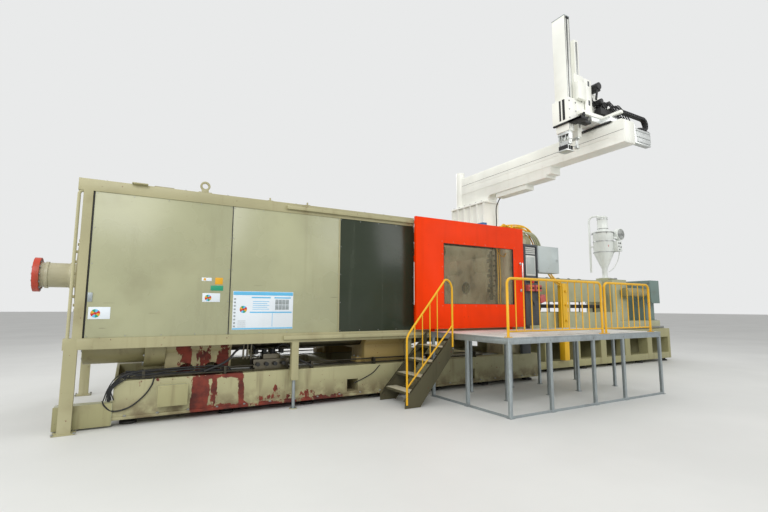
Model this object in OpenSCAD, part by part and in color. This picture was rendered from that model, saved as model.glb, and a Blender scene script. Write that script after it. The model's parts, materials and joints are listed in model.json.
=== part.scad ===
/* [Beds] */
// Height of the levelling feet under both beds
foot_h = 90; // [70:5:110]
// Radius of a levelling foot
foot_r = 110; // [80:5:130]
// Width of the clamp bed
bed_w = 2700; // [2640:10:2760]
// Height of the clamp bed's top above the floor
bed_top = 600; // [560:5:640]
// Reach of the clamp bed behind the mould face
bed_rear = 7350; // [7250:10:7400]
// Reach of the clamp bed past the mould face
bed_front = 950; // [945:5:1000]
// Plate thickness of the beds
bed_plate = 40; // [25:1:60]
// Width of a clamp way
way_w = 260; // [200:5:300]
// Thickness of a clamp way
way_t = 20; // [10:1:30]
// Width of the injection bed
inj_bed_w = 1400; // [1300:10:1440]
// Height of the injection bed's top above the floor
inj_bed_top = 1000; // [940:5:1030]
// Far end of the injection bed from the mould face
inj_bed_end = 7700; // [7500:10:7900]
// Height of an injection guide rail
guide_h = 70; // [50:1:90]
// Distance of a guide rail from the centre line
guide_y = 520; // [460:5:560]

/* [Clamp] */
// Height of the platens' underside above the clamp bed
platen_lift = 250; // [210:5:290]
// Space between the platens as they stand
daylight = 2450; // [2400:10:2500]
// Stroke that closes the clamp
close_stroke = 1250; // [1100:10:1300]
// Stroke that opens the clamp further
open_stroke = 600; // [300:10:620]
// Width of the platens
platen_w = 2560; // [2520:10:2600]
// Height of the platens
platen_h = 2500; // [2460:10:2540]
// Corner chamfer of the platens
platen_chamfer = 150; // [100:5:200]
// Thickness of the fixed platen
fixed_t = 750; // [700:5:751]
// Thickness of the moving platen
moving_t = 1000; // [940:5:1060]
// Thickness of the rear platen
rear_t = 930; // [900:5:960]
// Distance from the mould face to the rear platen
rear_gap = 5800; // [5750:5:5820]
// Radius of a tie bar
tie_r = 160; // [140:1:175]
// Distance of a tie bar from the centre line, across
tie_y = 960; // [940:5:980]
// Distance of a tie bar from the centre line, upwards
tie_up = 1020; // [1000:5:1030]
// Radius of a rear tie bar nut
rear_nut_r = 350; // [300:5:360]
// Length of a rear tie bar nut
rear_nut_len = 270; // [200:5:320]
// Radius of the cap over a tie bar end
cap_r = 270; // [240:5:290]
// Length of the cap over a tie bar end
cap_len = 750; // [600:10:800]
// Radius of a front tie bar nut
front_nut_r = 300; // [250:5:320]
// Length of a front tie bar nut
front_nut_len = 190; // [120:5:190]
// Radius of the locating bore
locating_r = 157.5; // [125:0.5:175]
// Depth of the locating bore
locating_depth = 60; // [40:1:100]
// Radius of the clamp ram
ram_r = 420; // [380:1:440]
// Outer radius of the clamp cylinder
cyl_r = 620; // [590:1:640]
// Wall of the clamp cylinder
cyl_wall = 100; // [80:1:140]
// Radius of the booster cylinder
booster_r = 190; // [160:1:220]
// Length of the booster cylinder
booster_len = 490; // [400:5:560]
// Distance of a jack cylinder from the centre line
jack_y = 820; // [800:1:830]
// Outer radius of a jack cylinder
jack_r = 140; // [120:1:150]
// Radius of a jack rod
jack_rod_r = 70; // [50:1:80]
// Stroke of the ejector
eject_stroke = 200; // [100:5:220]
// Radius of an ejector pin
pin_r = 25; // [15:1:30]
// Radius of a tapped mould hole
mould_hole_r = 15; // [10:0.5:20]

/* [Covers] */
// Distance of the cover plane from the side of the bed
cover_out = 150; // [135:5:170]
// Reach of the cover frame behind the mould face
frame_left = 7950; // [7900:10:8000]
// Drop of the upper beam below the platens' top
beam_drop = 13; // [5:1:20]
// Height of the upper beam
beam_h = 160; // [130:1:180]
// Top of the lower rail above the floor
rail_top = 1201; // [1190:1:1209]
// Height of the lower rail
rail_h = 148; // [120:1:160]
// Depth of the frame members
frame_d = 100; // [70:1:110]
// Width of a beige cover panel
panel_w = 1808; // [1780:1:1830]
// Width of the grey cover
grey_w = 1550; // [1500:1:1560]
// Width of the seam between covers
seam = 8; // [4:1:12]
// Sheet thickness of the covers
sheet_t = 3; // [2:0.5:5]
// Depth of the folded edge of a cover
fold_d = 40; // [25:1:60]
// Right end of the grey cover from the mould face
cover_end = 2540; // [2520:5:2550]
// Left end of the safety door from the mould face
door_left = 2600; // [2560:5:2620]
// Right end of the safety door from the mould face
door_right = 240; // [220:5:260]
// Bottom of the safety door above the floor
door_bottom = 1215; // [1212:1:1230]
// Reach of the safety door above the upper beam
door_over = 13; // [5:1:40]
// Depth of the safety door
door_d = 60; // [40:1:70]
// Radius of a door roller
roller_r = 35; // [25:1:38]

/* [Injection] */
// Radius of the screw
screw_r = 80; // [65:1:90]
// Outer radius of the barrel
barrel_r = 215; // [180:1:230]
// Distance from the mould face to the nozzle tip
nozzle_x = 70; // [65:1:120]
// Distance from the mould face to the feed throat
throat_x = 5600; // [5550:5:5650]
// Radius of the feed throat
throat_r = 75; // [60:1:90]
// Stroke of the screw
screw_stroke = 600; // [400:10:600]
// Turns of the screw flight
flights = 18; // [10:1:20]
// Radius of the hopper
hopper_r = 290; // [260:1:300]
// Height of the hopper's straight side
hopper_h = 660; // [600:5:700]
// Radius of the hopper loader
loader_r = 150; // [120:1:170]
// Height of the hopper loader
loader_h = 420; // [350:5:450]

/* [Robot] */
// Height of the pedestal on the fixed platen
pedestal_h = 880; // [850:5:900]
// Reach of the beam over the operator platform
beam_reach = 4050; // [4000:10:4060]
// Width of the beam
robot_beam_w = 320; // [280:5:330]
// Height of the beam
robot_beam_h = 420; // [380:5:440]
// Height of the beam's lower support
support_h = 220; // [180:5:240]
// Length of the main arm
main_arm_len = 2250; // [2100:10:2300]
// Length of the runner arm
runner_arm_len = 1800; // [1600:10:1900]
// Spacing of the bolt holes in the wrist flange
flange_pitch = 160; // [140:1:166]
// Radius of the bolt holes in the wrist flange
flange_hole_r = 5.5; // [4:0.5:7]

/* [Platform] */
// Height of the deck above the floor
deck_top = 1173; // [1150:1:1185]
// Left end of the deck from the mould face
deck_left = 2290; // [2250:5:2320]
// Right end of the deck from the mould face
deck_right = 1750; // [1700:5:1800]
// Distance of the deck's front edge from the centre line
deck_front = 3656; // [3600:1:3700]
// Distance of the deck's back edge from the centre line
deck_back = 1700; // [1690:1:1750]
// Thickness of the deck
deck_t = 20; // [10:1:30]
// Side of a platform post
post_w = 50; // [40:1:60]
// Height of the railings above the deck
railing_h = 900; // [850:5:950]
// Radius of a railing tube
tube_r = 21; // [16:0.5:24]
// Radius of a baluster
baluster_r = 9; // [6:0.5:12]
// Run of the stair
stair_run = 1010; // [950:5:1100]
// Width of the stair
stair_w = 815; // [760:5:840]
// Number of steps up to the deck
steps = 5; // [4:1:6]

/* [Hidden] */
$fn = 48;

// Radial gap of a fit between pieces that stay together
fit_gap = 0.05;
// Radial gap of a running fit
slide_gap = 0.08;
// Gap between pieces that pass or rest beside each other
run_gap = 0.3;

beige = "#b9b38f";
steel = "#8c8f8d";
chrome = "#c9cccc";
robot_white = "#e6e6e0";
orange = "#f0451a";
yellow = "#e3b81c";
zinc = "#8d9496";

centre_z = bed_top + platen_lift + platen_h / 2;
moving_face = -daylight;
moving_back = moving_face - moving_t;
rear_face = -rear_gap;
rear_back = rear_face - rear_t;
platen_top = centre_z + platen_h / 2;
way_y = 980;
shoe_reach = 100;

// Clamp hydraulics
gland_len = 300;
cyl_nose = 150;
ram_engaged = 200;
ram_rear = rear_face - ram_engaged - close_stroke;
cyl_rear_wall = 80;
cyl_inner_rear = ram_rear - open_stroke - 20;
cyl_rear = cyl_inner_rear - cyl_rear_wall;
cyl_front = rear_face + cyl_nose;
ram_flange_r = 560;
ram_flange_t = 80;
jack_nose = 100;
jack_front = rear_face + jack_nose;
jack_gland = 150;
jack_rod_rear = jack_front - jack_gland - close_stroke;
jack_rear = jack_rod_rear - open_stroke - 50;
jack_wall = 30;
booster_flange_r = 260;
booster_flange_t = 80;

// Moving platen cavity and ejector
cavity_front = moving_face - 300;
cavity_rear = cavity_front - 400;
cavity_h = 1000;
ejector_t = 80;
ejector_w = 700;
ejector_front = cavity_rear + 40 + ejector_t;
pin_pitch = 500;
push_rod_r = 60;
push_rod_len = 280;
pin_seat = 5;
mould_pitches = [[1400, 1400], [1400, 700], [700, 1400], [700, 700]];
mould_hole_depth = 60;

// Fixed platen back
sprue_r = 75;
recess_r = 400;
recess_x = 220;
pocket_depth = 400;
pocket_w = 900;
pocket_in = 480;
pocket_out = 1100;

// Tie bar ends
cap_bore = tie_r + 20;
tie_rear = rear_back - rear_nut_len - 300;
tie_front = fixed_t + front_nut_len + 5;

// Cover frame, clear of both the bed and the platens
platen_margin = 70;
side_reach = max(bed_w, platen_w + 2 * platen_margin) / 2;
cover_y = side_reach + cover_out;
beam_top = platen_top - beam_drop;
door_top = beam_top + door_over;
rail_bottom = rail_top - rail_h;
beam_bottom = beam_top - beam_h;
frame_inner = cover_y - frame_d;
left_post_x = 94;
left_post_w = 110;
leg_x = 16;
leg_w = 148;
mid_leg_w = 113;
mid_leg_stop = 450;
mid_pole_r = 25;
grey_left = -cover_end - grey_w;
panel_mid = grey_left - seam - panel_w;
panel_left = panel_mid - seam - panel_w;
grey_right = grey_left + grey_w;
sill_end = 420;
end_post_w = 100;
mid_leg_x = panel_mid + 1000;
cross_w = 100;
cross_low = centre_z + tie_up + tie_r + 10;
lug_left = 6330;
studs_left = [5330, 4690];
box_cover_left = 6810;
box_cover_w = 380;
box_cover_low = 230;
box_cover_h = 280;
box_cover_d = 110;
end_box_len = 650;
end_box_w = 200;
end_box_low = 30;
end_box_h = 290;
cover_gap = run_gap;
cover_recess = 10;
cover_back = cover_y - cover_recess - fold_d;

// Door
door_back_y = cover_y + 100;
door_front_y = door_back_y + door_d;
door_travel = 2400;
track_w = 45;
track_h = 60;
track_top = rail_top - 41;
top_track_z = beam_bottom + 53;
window_left = 1950;
window_right = -70;
window_bottom = 1690;
window_top = 2880;
pane_t = 8;
pane_lap = 40;

// Operator side
column_left = 380;
column_right = 800;
column_front = cover_y + 60;
column_back = platen_w / 2 + run_gap;
column_bottom = 1235;
column_top = 3050;
screen_recess = 25;
cabinet_left = 880;
cabinet_right = 1570;
cabinet_front = cover_y;
cabinet_back = column_back;
cabinet_bottom = 2430;
door_sheet = 20;
hinge_r = 10;
screen_low = 2340;
screen_h = 460;
keys_low = 2830;
key_pitch_x = 38;
key_pitch_z = 42;
switch_box_w = 180;
switch_box_h = 140;
switch_box_d = 90;
switch_box_low = 1990;
switch_boxes_left = [column_left + 10, column_left + 245];
tilt_box_low = 1760;

// Injection unit
base_bottom = inj_bed_top + guide_h + run_gap;
base_t = 180;
base_top = base_bottom + base_t;
base_left = 1500;
base_right = 7300;
base_half = 640;
block_left = throat_x - 350;
block_right = throat_x + 350;
block_half = 450;
block_top = centre_z + 380;
yoke_len = 200;
barrel_left = nozzle_x + 490;
barrel_right = block_right;
nozzle_tip_r = 45;
nozzle_root_r = 110;
head_r = 260;
head_len = 160;
screw_left = barrel_left + 140;
screw_tip_len = 200;
shank_r = screw_r - 10;
root_r = screw_r * 0.62;
drive_gap = 750;
drive_len = 450;
drive_left = block_right + drive_gap;
drive_right = drive_left + drive_len;
drive_half = 760;
motor_r = 220;
motor_len = 520;
cyl_y = 600;
inj_cyl_r = 130;
inj_cyl_left = block_right - 350;
inj_cyl_right = drive_left - 100;
inj_rod_r = 60;
inj_rod_left = inj_cyl_right - screw_stroke - 150;
blower_out = 160;
blower_r = 190;
gate_h = 60;
gate_top = block_top + gate_h;
gate_t = 12;
gate_z = block_top + 24;
gate_half = 110;
neck_top = gate_top + 300;
cone_top = gate_top + 790;
hopper_top = cone_top + hopper_h;
hopper_wall = 5;
lid_t = 40;
lid_lip = 10;
lid_hinge_x = throat_x + hopper_r + 35;

// Robot
pedestal_left = 150;
pedestal_right = 650;
pedestal_near = -550;
pedestal_far = 740;
pedestal_top = platen_top + pedestal_h;
robot_beam_left = 300;
robot_beam_right = robot_beam_left + robot_beam_w;
robot_beam_far = 560;
support_near = -2420;
drive_box_from = 700;
drive_box_len = 950;
drive_box_h = 110;
beam_low = pedestal_top + 150 + support_h;
beam_high = beam_low + robot_beam_h;
column_r = 110;
beam_rail_h = 40;
carriage_near = -3830;
carriage_far = -3130;
carriage_bottom = beam_high + beam_rail_h + run_gap;
carriage_t = 90;
carriage_top = carriage_bottom + carriage_t;
kick_base_left = 0;
kick_base_right = 1300;
kick_rail_h = 30;
side_rail_left = robot_beam_right + 4;
side_rail_near = -beam_reach;
side_rail_d = 100;
low_rail_right = 1130;
low_rail_bottom = beam_low + 40;
low_rail_top = beam_low + 200;
top_rail_right = 1300;
top_rail_top = beam_low + 385;
chain_link_len = 60;
chain_w = 90;
chain_t = 48;
chain_bend = 115;
chain_links = 11;
chain_x = 1130;
chain_y = side_rail_near + side_rail_d;
chain_low = top_rail_top + chain_t / 2 + 4 + run_gap;
chain_end = chain_x - chain_links * chain_link_len - 1;
kick_bottom = carriage_top + kick_rail_h + run_gap;
kick_t = 70;
arm_near = -3500;
arm_d = 280;
arm_far = arm_near + arm_d;
arm_mid = (arm_near + arm_far) / 2;
main_left = -480;
main_w = 140;
main_right = main_left + main_w;
main_mid = main_left + main_w / 2;
arm_wall = 12;
arm_bottom = beam_low + 250;
arm_slot = 40;
guide_wall = 40;
guide_len = 450;
guide_low = arm_bottom + 150;
guide_high = guide_low + guide_len;
runner_left = -200;
runner_w = 120;
runner_right = runner_left + runner_w;
inner_gap = 8;
pad_len = 120;
inner_w = main_w - 2 * arm_wall - 2 * inner_gap;
inner_d = arm_d - 2 * arm_wall - 2 * inner_gap;
inner_len = main_arm_len - 200;
wrist_z = arm_bottom - 200;
ear_t = 20;
wrist_pin_r = 14;
flange_w = 200;
flange_t = 20;
flange_bottom = wrist_z - 170;

// Platform
post_rows = [-deck_front + post_w / 2, -(deck_front + deck_back) / 2, -deck_back - post_w / 2];
post_xs = [-deck_left + post_w / 2, -1370, -290, 550, deck_right - post_w / 2];
beam_under = 80;
frame_top = deck_top - deck_t;
railing_y = -deck_front + 60;
railing_bend = 90;
railing_1 = [-deck_left + 55, 50];
railing_2 = [150, 1530];
base_plate_w = 90;
base_plate_t = 10;
low_rail_h = 90;
stair_toe = -deck_left - stair_run;
stair_far = -cover_y - track_w - run_gap;
stair_near = stair_far - stair_w;
stringer_t = 8;
stringer_flange = 45;
stringer_depth = 320;
toe_h = 120;
tread_t = 40;
tread_d = 235;
rail_tube_r = 17;
rail_rise = 950;

// Hose routes from the platen top to the injection side, from points chosen by hand
hose_r = 17;
hose_routes = [
    [[250, -700, 30], [420, -860, 70], [620, -1010, 90], [820, -1090, 90], [980, -1120, 60],
     [1120, -1125, -60], [1240, -1125, -250], [1360, -1115, -450], [1500, -1095, -640],
     [1660, -1060, -820], [1850, -1010, -980], [2080, -940, -1100], [2330, -860, -1170], [2570, -800, -1190]],
    [[250, -620, 30], [400, -780, 110], [600, -930, 140], [800, -1020, 140], [970, -1050, 100],
     [1110, -1055, -30], [1230, -1055, -210], [1350, -1045, -400], [1490, -1025, -580],
     [1650, -990, -740], [1850, -940, -880], [2080, -870, -1000], [2330, -800, -1100], [2600, -760, -1180]],
    [[250, -700, 95], [420, -860, 135], [620, -1010, 155], [830, -1090, 155], [1000, -1120, 120],
     [1160, -1125, -15], [1295, -1125, -215], [1415, -1115, -415], [1555, -1095, -600],
     [1715, -1060, -775], [1900, -1010, -930], [2120, -940, -1050], [2350, -860, -1120], [2560, -790, -1150]],
    [[250, -620, 95], [400, -780, 170], [600, -930, 205], [810, -1020, 205], [1000, -1050, 165],
     [1155, -1055, 25], [1285, -1055, -165], [1405, -1045, -360], [1545, -1025, -545],
     [1705, -990, -705], [1900, -940, -845], [2120, -870, -960], [2360, -800, -1060], [2590, -750, -1140]]];

module block(low, high) {
    translate(low) cube(high - low);
}

module rod_x(x0, x1, r, y = 0, z = centre_z) {
    translate([x0, y, z]) rotate([0, 90, 0]) cylinder(h = x1 - x0, r = r);
}

module rod_y(y0, y1, r, x, z) {
    translate([x, y0, z]) rotate([-90, 0, 0]) cylinder(h = y1 - y0, r = r);
}

module rod_z(z0, z1, r, x, y) {
    translate([x, y, z0]) cylinder(h = z1 - z0, r = r);
}

module both_sides() {
    children();
    mirror([0, 1, 0]) children();
}

// A straight tube between two points in a plane of constant Y
module strut(a, b, r) {
    d = b - a;
    translate(a) rotate([0, atan2(norm([d[0], d[1]]) * sign(d[0]), d[2]), 0]) cylinder(h = norm(d), r = r);
}

// A quarter bend of a tube in the XZ plane, from straight up into the direction of dir
module elbow_up(corner, bend, r, dir) {
    translate([corner[0] + dir * bend, corner[1], corner[2] - bend])
        rotate([90, 0, 0]) rotate([0, 0, dir > 0 ? 90 : 0])
            rotate_extrude(angle = 90) translate([bend, 0]) circle(r = r);
}

module clamp_bed() {
    bays = 7;
    length = bed_front + bed_rear;
    pitch = length / bays;
    girder = 600;
    window = 210;
    color(beige) difference() {
        union() {
            block([-bed_rear, -bed_w / 2, foot_h], [bed_front, bed_w / 2, bed_top]);
            both_sides() block([-bed_rear, bed_w / 2 - 1, foot_h],
                [bed_front, bed_w / 2 + 30, foot_h + bed_plate]);
        }
        for (i = [0 : bays - 1])
            block([-bed_rear + i * pitch + bed_plate, -bed_w / 2 + girder, foot_h + bed_plate],
                [-bed_rear + (i + 1) * pitch - bed_plate, bed_w / 2 - girder, bed_top + 1]);
        both_sides() for (x = [-bed_rear + 3 * pitch - 57, -bed_rear + 5 * pitch + 271])
            block([x, -bed_w / 2 - 1, foot_h + 70], [x + window, -bed_w / 2 + girder + 1, foot_h + 70 + window]);
    }
}

module injection_bed() {
    bays = 6;
    length = inj_bed_end - bed_front;
    pitch = length / bays;
    color(beige) difference() {
        block([bed_front, -inj_bed_w / 2, foot_h], [inj_bed_end, inj_bed_w / 2, inj_bed_top]);
        for (i = [0 : bays - 1]) {
            x0 = bed_front + i * pitch + bed_plate;
            x1 = bed_front + (i + 1) * pitch - bed_plate;
            block([x0, -guide_y + 110, foot_h + bed_plate], [x1, guide_y - 110, inj_bed_top + 1]);
            both_sides() block([x0 + 80, -inj_bed_w / 2 - 1, foot_h + 180],
                [x1 - 80, -guide_y + 111, inj_bed_top - 260]);
        }
    }
}

module machine_feet() {
    clamp_xs = [for (i = [0 : 6]) -bed_rear + 200 + i * (bed_rear + bed_front - 400) / 6];
    inj_xs = [for (i = [1 : 5]) bed_front + i * (inj_bed_end - bed_front - 200) / 5];
    color("#3a3a38") both_sides() {
        for (x = clamp_xs) levelling_foot(x, -bed_w / 2 + 180);
        for (x = inj_xs) levelling_foot(x, -inj_bed_w / 2 + 150);
    }
    color("#3a3a38") for (x = [-6000, -3000, 0]) levelling_foot(x, 0);
}

module levelling_foot(x, y) {
    pad_h = foot_h * 0.4;
    translate([x, y, 0]) rotate_extrude()
        polygon([[0, 0], [foot_r, 0], [foot_r, pad_h], [foot_r * 0.6, pad_h + 8],
            [foot_r * 0.6, foot_h], [0, foot_h]]);
}

module bed_ways() {
    color(steel) both_sides() {
        block([rear_face + 50, -way_y - way_w / 2, bed_top], [-50, -way_y + way_w / 2, bed_top + way_t]);
        block([bed_front + 150, -guide_y - 45, inj_bed_top],
            [inj_bed_end - 50, -guide_y + 45, inj_bed_top + guide_h]);
    }
}

module platen_outline() {
    w = platen_w / 2;
    h = platen_h / 2;
    c = platen_chamfer;
    polygon([[c - w, -h], [w - c, -h], [w, c - h], [w, h - c], [w - c, h], [c - w, h], [-w, h - c], [-w, c - h]]);
}

// A platen with its two feet, standing at a height above the bed
module platen_body(x0, x1, foot_z) {
    translate([x0, 0, centre_z]) rotate([90, 0, 90]) linear_extrude(x1 - x0) platen_outline();
    both_sides() block([x0, -platen_w / 2 + 60, foot_z], [x1, -platen_w / 2 + 580, centre_z - platen_h / 2 + platen_chamfer + 1]);
}

module at_tie_bars() {
    for (y = [-tie_y, tie_y]) for (z = [centre_z - tie_up, centre_z + tie_up]) translate([0, y, z]) children();
}

module bar(x0, x1, r) {
    translate([x0, 0, 0]) rotate([0, 90, 0]) cylinder(h = x1 - x0, r = r);
}

module mould_holes(face, dir) {
    for (p = mould_pitches) for (sy = [-1, 1]) for (sz = [-1, 1])
        translate([face, sy * p[0] / 2, centre_z + sz * p[1] / 2]) rotate([0, dir * 90, 0])
            translate([0, 0, -mould_hole_depth]) cylinder(h = mould_hole_depth + 1, r = mould_hole_r);
}

module fixed_platen() {
    color(steel) difference() {
        union() {
            platen_body(0, fixed_t, bed_top);
            for (x = [fixed_t, fixed_t + 520]) hinge_bracket(x);
        }
        at_tie_bars() bar(-1, fixed_t + 1, tie_r + fit_gap);
        rod_x(-1, locating_depth, locating_r);
        rod_x(0, recess_x + 1, sprue_r);
        rod_x(recess_x, fixed_t + 1, recess_r);
        mould_holes(0, -1);
        for (a = [0, 90, 180, 270]) translate([0, 0, centre_z]) rotate([a, 0, 0])
            block([fixed_t - pocket_depth, -pocket_w / 2, pocket_in], [fixed_t + 1, pocket_w / 2, pocket_out]);
        rod_x(fixed_t + 3, fixed_t + 750, hinge_r + slide_gap, guard_hinge_y, guard_hinge_z);
    }
}

// Purge guard hinge line, behind the fixed platen
guard_hinge_y = 430;
guard_hinge_z = centre_z + 400;
guard_left = 790;
guard_right = 1440;

// A bracket arm behind the platen that carries the guard's pin
module hinge_bracket(x) {
    if (x == fixed_t) block([fixed_t - 1, guard_hinge_y - 25, guard_hinge_z - 25],
        [guard_left - 2, guard_hinge_y + 60, guard_hinge_z + 25]);
    else block([fixed_t - 1, guard_hinge_y + 28, guard_hinge_z - 25],
        [guard_right + 40, guard_hinge_y + 60, guard_hinge_z + 25]);
    if (x > fixed_t) block([guard_right + 2, guard_hinge_y - 25, guard_hinge_z - 25],
        [guard_right + 40, guard_hinge_y + 60, guard_hinge_z + 25]);
}

module rear_platen() {
    arch_r = 115;
    color("#8e7f66") difference() {
        platen_body(rear_back, rear_face, bed_top);
        at_tie_bars() bar(rear_back - 1, rear_face + 1, tie_r + fit_gap);
        rod_x(rear_back - 1, rear_face + 1, cyl_r + fit_gap);
        for (y = [-jack_y, jack_y]) rod_x(rear_back - 1, rear_face + 1, jack_r + fit_gap, y);
        for (x = [rear_back + 290, rear_back + 650]) {
            rod_y(-platen_w, platen_w, arch_r, x, bed_top + 60);
            block([x - arch_r, -platen_w, bed_top - 1], [x + arch_r, platen_w, bed_top + 60]);
        }
    }
}

module moving_platen() {
    shoe_bottom = bed_top + way_t + run_gap;
    color("#9c8a5c") difference() {
        union() {
            platen_body(moving_back, moving_face, shoe_bottom);
            both_sides() block([moving_back - shoe_reach, -way_y - way_w / 2 + 10, shoe_bottom],
                [moving_face + shoe_reach, -way_y + way_w / 2 - 10, shoe_bottom + 90]);
        }
        at_tie_bars() bar(moving_back - 1, moving_face + 1, tie_r + slide_gap);
        block([cavity_rear, -platen_w, centre_z - cavity_h / 2], [cavity_front, platen_w, centre_z + cavity_h / 2]);
        for (z = [centre_z - 1100, centre_z + 620]) block([moving_back - 1, -450, z], [moving_back + 260, 450, z + 480]);
        ejector_holes();
        mould_holes(moving_face, 1);
    }
}

module ejector_holes() {
    at_pins() bar(cavity_front - 1, moving_face + 1, pin_r + slide_gap);
    rod_x(cavity_rear - push_rod_len - 10, cavity_rear + 1, push_rod_r + slide_gap);
}

module at_pins() {
    translate([0, 0, centre_z]) children();
    for (y = [-1, 1]) for (z = [-1, 1]) translate([0, y * pin_pitch / 2, centre_z + z * pin_pitch / 2]) children();
}

module ejector_plate() {
    color(chrome) {
        block([ejector_front - ejector_t, -ejector_w / 2, centre_z - ejector_w / 2],
            [ejector_front, ejector_w / 2, centre_z + ejector_w / 2]);
        at_pins() bar(ejector_front - 1, moving_face - pin_seat, pin_r);
        rod_x(ejector_front - ejector_t - push_rod_len, ejector_front - ejector_t + 1, push_rod_r);
    }
}

module tie_bars() {
    color("#6b675a") at_tie_bars() bar(tie_rear, tie_front, tie_r);
}

module tie_bar_nuts() {
    nut_rear = rear_back - rear_nut_len;
    color(beige) at_tie_bars() {
        difference() {
            bar(nut_rear, rear_back, rear_nut_r);
            bar(nut_rear - 1, rear_back + 1, tie_r + fit_gap);
        }
        difference() {
            bar(nut_rear - run_gap - cap_len, nut_rear - run_gap, cap_r);
            bar(nut_rear - run_gap - cap_len + 50, nut_rear, cap_bore);
        }
        difference() {
            bar(fixed_t, fixed_t + front_nut_len, front_nut_r);
            bar(fixed_t - 1, fixed_t + front_nut_len + 1, tie_r + fit_gap);
        }
    }
}

module clamp_cylinder() {
    bolts = 20;
    color(beige) difference() {
        union() {
            rod_x(cyl_rear, cyl_front, cyl_r);
            rod_x(rear_face, rear_face + 70, cyl_r + 50);
        }
        rod_x(cyl_inner_rear, cyl_front - gland_len, cyl_r - cyl_wall);
        rod_x(cyl_front - gland_len - 1, cyl_front + 1, ram_r + slide_gap);
    }
    color("#8a8877") for (i = [0 : bolts - 1]) translate([0, 0, centre_z]) rotate([i * 360 / bolts, 0, 0])
        rod_x(cyl_rear - 24, cyl_rear + 1, 22, 0, cyl_r - 45);
}

module clamp_ram() {
    color(chrome) {
        rod_x(ram_rear, moving_back, ram_r);
        rod_x(moving_back - ram_flange_t, moving_back, ram_flange_r);
    }
}

module booster_cylinder() {
    color(beige) rod_x(cyl_rear - booster_len, cyl_rear, booster_r);
    color("#c8452c") rod_x(cyl_rear - booster_len - booster_flange_t, cyl_rear - booster_len, booster_flange_r);
}

module jack_cylinders() {
    color(beige) for (y = [-jack_y, jack_y]) difference() {
        rod_x(jack_rear, jack_front, jack_r, y);
        rod_x(jack_rear + 40, jack_front - jack_gland, jack_r - jack_wall, y);
        rod_x(jack_front - jack_gland - 1, jack_front + 1, jack_rod_r + slide_gap, y);
    }
}

module jack_rods() {
    color(chrome) for (y = [-jack_y, jack_y]) rod_x(jack_rod_rear, moving_back, jack_rod_r, y);
}

module frame_side() {
    post_left = -frame_left + left_post_x;
    leg_left = -frame_left + leg_x;
    block([-frame_left + 30, -cover_y, beam_bottom], [grey_right, -frame_inner, beam_top]);
    block([-frame_left, -cover_y, rail_bottom], [sill_end, -frame_inner, rail_top]);
    block([post_left, -cover_y, rail_top - 1], [post_left + left_post_w, -frame_inner, beam_bottom + 1]);
    block([grey_right - 60, -cover_back + run_gap, rail_top - 1], [grey_right, -frame_inner, beam_bottom + 1]);
    block([leg_left, -cover_y, 15], [leg_left + leg_w, -frame_inner, rail_bottom + 1]);
    block([leg_left - 50, -cover_y - 50, 0], [leg_left + leg_w + 50, -frame_inner + 50, 16]);
    block([mid_leg_x, -cover_y, mid_leg_stop], [mid_leg_x + mid_leg_w, -frame_inner, rail_bottom + 1]);
    rod_z(0, mid_leg_stop + 1, mid_pole_r, mid_leg_x + mid_leg_w / 2, -cover_y + frame_d / 2);
    rod_z(0, 12, 60, mid_leg_x + mid_leg_w / 2, -cover_y + frame_d / 2);
    block([grey_right - end_post_w, -frame_inner - 1, bed_top], [grey_right, -bed_w / 2 + 30, rail_top]);
    block([grey_right - end_post_w, -frame_inner - 1, rail_bottom], [grey_right, -frame_inner + 10, rail_top]);
}

module cover_frame() {
    color("#b3a97c") {
        both_sides() frame_side();
        for (x = [-frame_left + 30, rear_face + 180, moving_back - open_stroke - 320])
            block([x, -frame_inner - 1, cross_low], [x + cross_w, frame_inner + 1, beam_top - 5]);
        rod_z(rail_top - 1, beam_bottom - 60, 20, -frame_left + 45, -cover_y + 25);
        elbow_up([-frame_left + 45, -cover_y + 25, beam_bottom], 60 + 0.01, 20, 1);
    }
}

// A folded sheet cover, open at the back
module cover_pan(x0, x1) {
    difference() {
        block([x0, -cover_y + cover_recess, rail_top + cover_gap], [x1, -cover_y + cover_recess + fold_d, beam_bottom - cover_gap]);
        block([x0 + sheet_t, -cover_y + cover_recess + sheet_t, rail_top + cover_gap + sheet_t],
            [x1 - sheet_t, -cover_y + cover_recess + fold_d + 1, beam_bottom - cover_gap - sheet_t]);
    }
}

module front_covers() {
    color(beige) {
        cover_pan(panel_left, panel_left + panel_w);
        cover_pan(panel_mid, panel_mid + panel_w);
        block([-box_cover_left, -bed_w / 2 - box_cover_d, box_cover_low],
            [box_cover_w - box_cover_left, -bed_w / 2, box_cover_low + box_cover_h]);
        block([-bed_rear - end_box_len, -bed_w / 2 - 20, end_box_low],
            [-bed_rear, -bed_w / 2 - 20 + end_box_w, end_box_low + end_box_h]);
    }
}

module grey_cover() {
    color("#40453f") cover_pan(grey_left, grey_right);
}

module rear_covers() {
    color(beige) mirror([0, 1, 0]) {
        cover_pan(panel_left, panel_left + panel_w);
        cover_pan(panel_mid, panel_mid + panel_w);
        cover_pan(grey_left, grey_right);
    }
}

module ring_lug(x, y) {
    lug_t = 30;
    eye_r = 72;
    difference() {
        union() {
            rod_y(y - lug_t / 2, y + lug_t / 2, eye_r, x, beam_top + 110);
            block([x - 50, y - lug_t / 2, beam_top + 12], [x + 50, y + lug_t / 2, beam_top + 70]);
            block([x - 95, y - 35, beam_top], [x + 95, y + 35, beam_top + 14]);
        }
        rod_y(y - lug_t, y + lug_t, 42, x, beam_top + 110);
    }
}

module lifting_lugs() {
    lug_y = cover_y - frame_d / 2;
    color("#a6a08a") {
        for (y = [-lug_y, lug_y]) ring_lug(-lug_left, y);
        for (y = [-lug_y, lug_y]) for (x = -studs_left) {
            block([x - 45, y - 25, beam_top], [x + 45, y + 25, beam_top + 12]);
            rod_z(beam_top + 11, beam_top + 55, 14, x, y);
        }
    }
}

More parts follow.
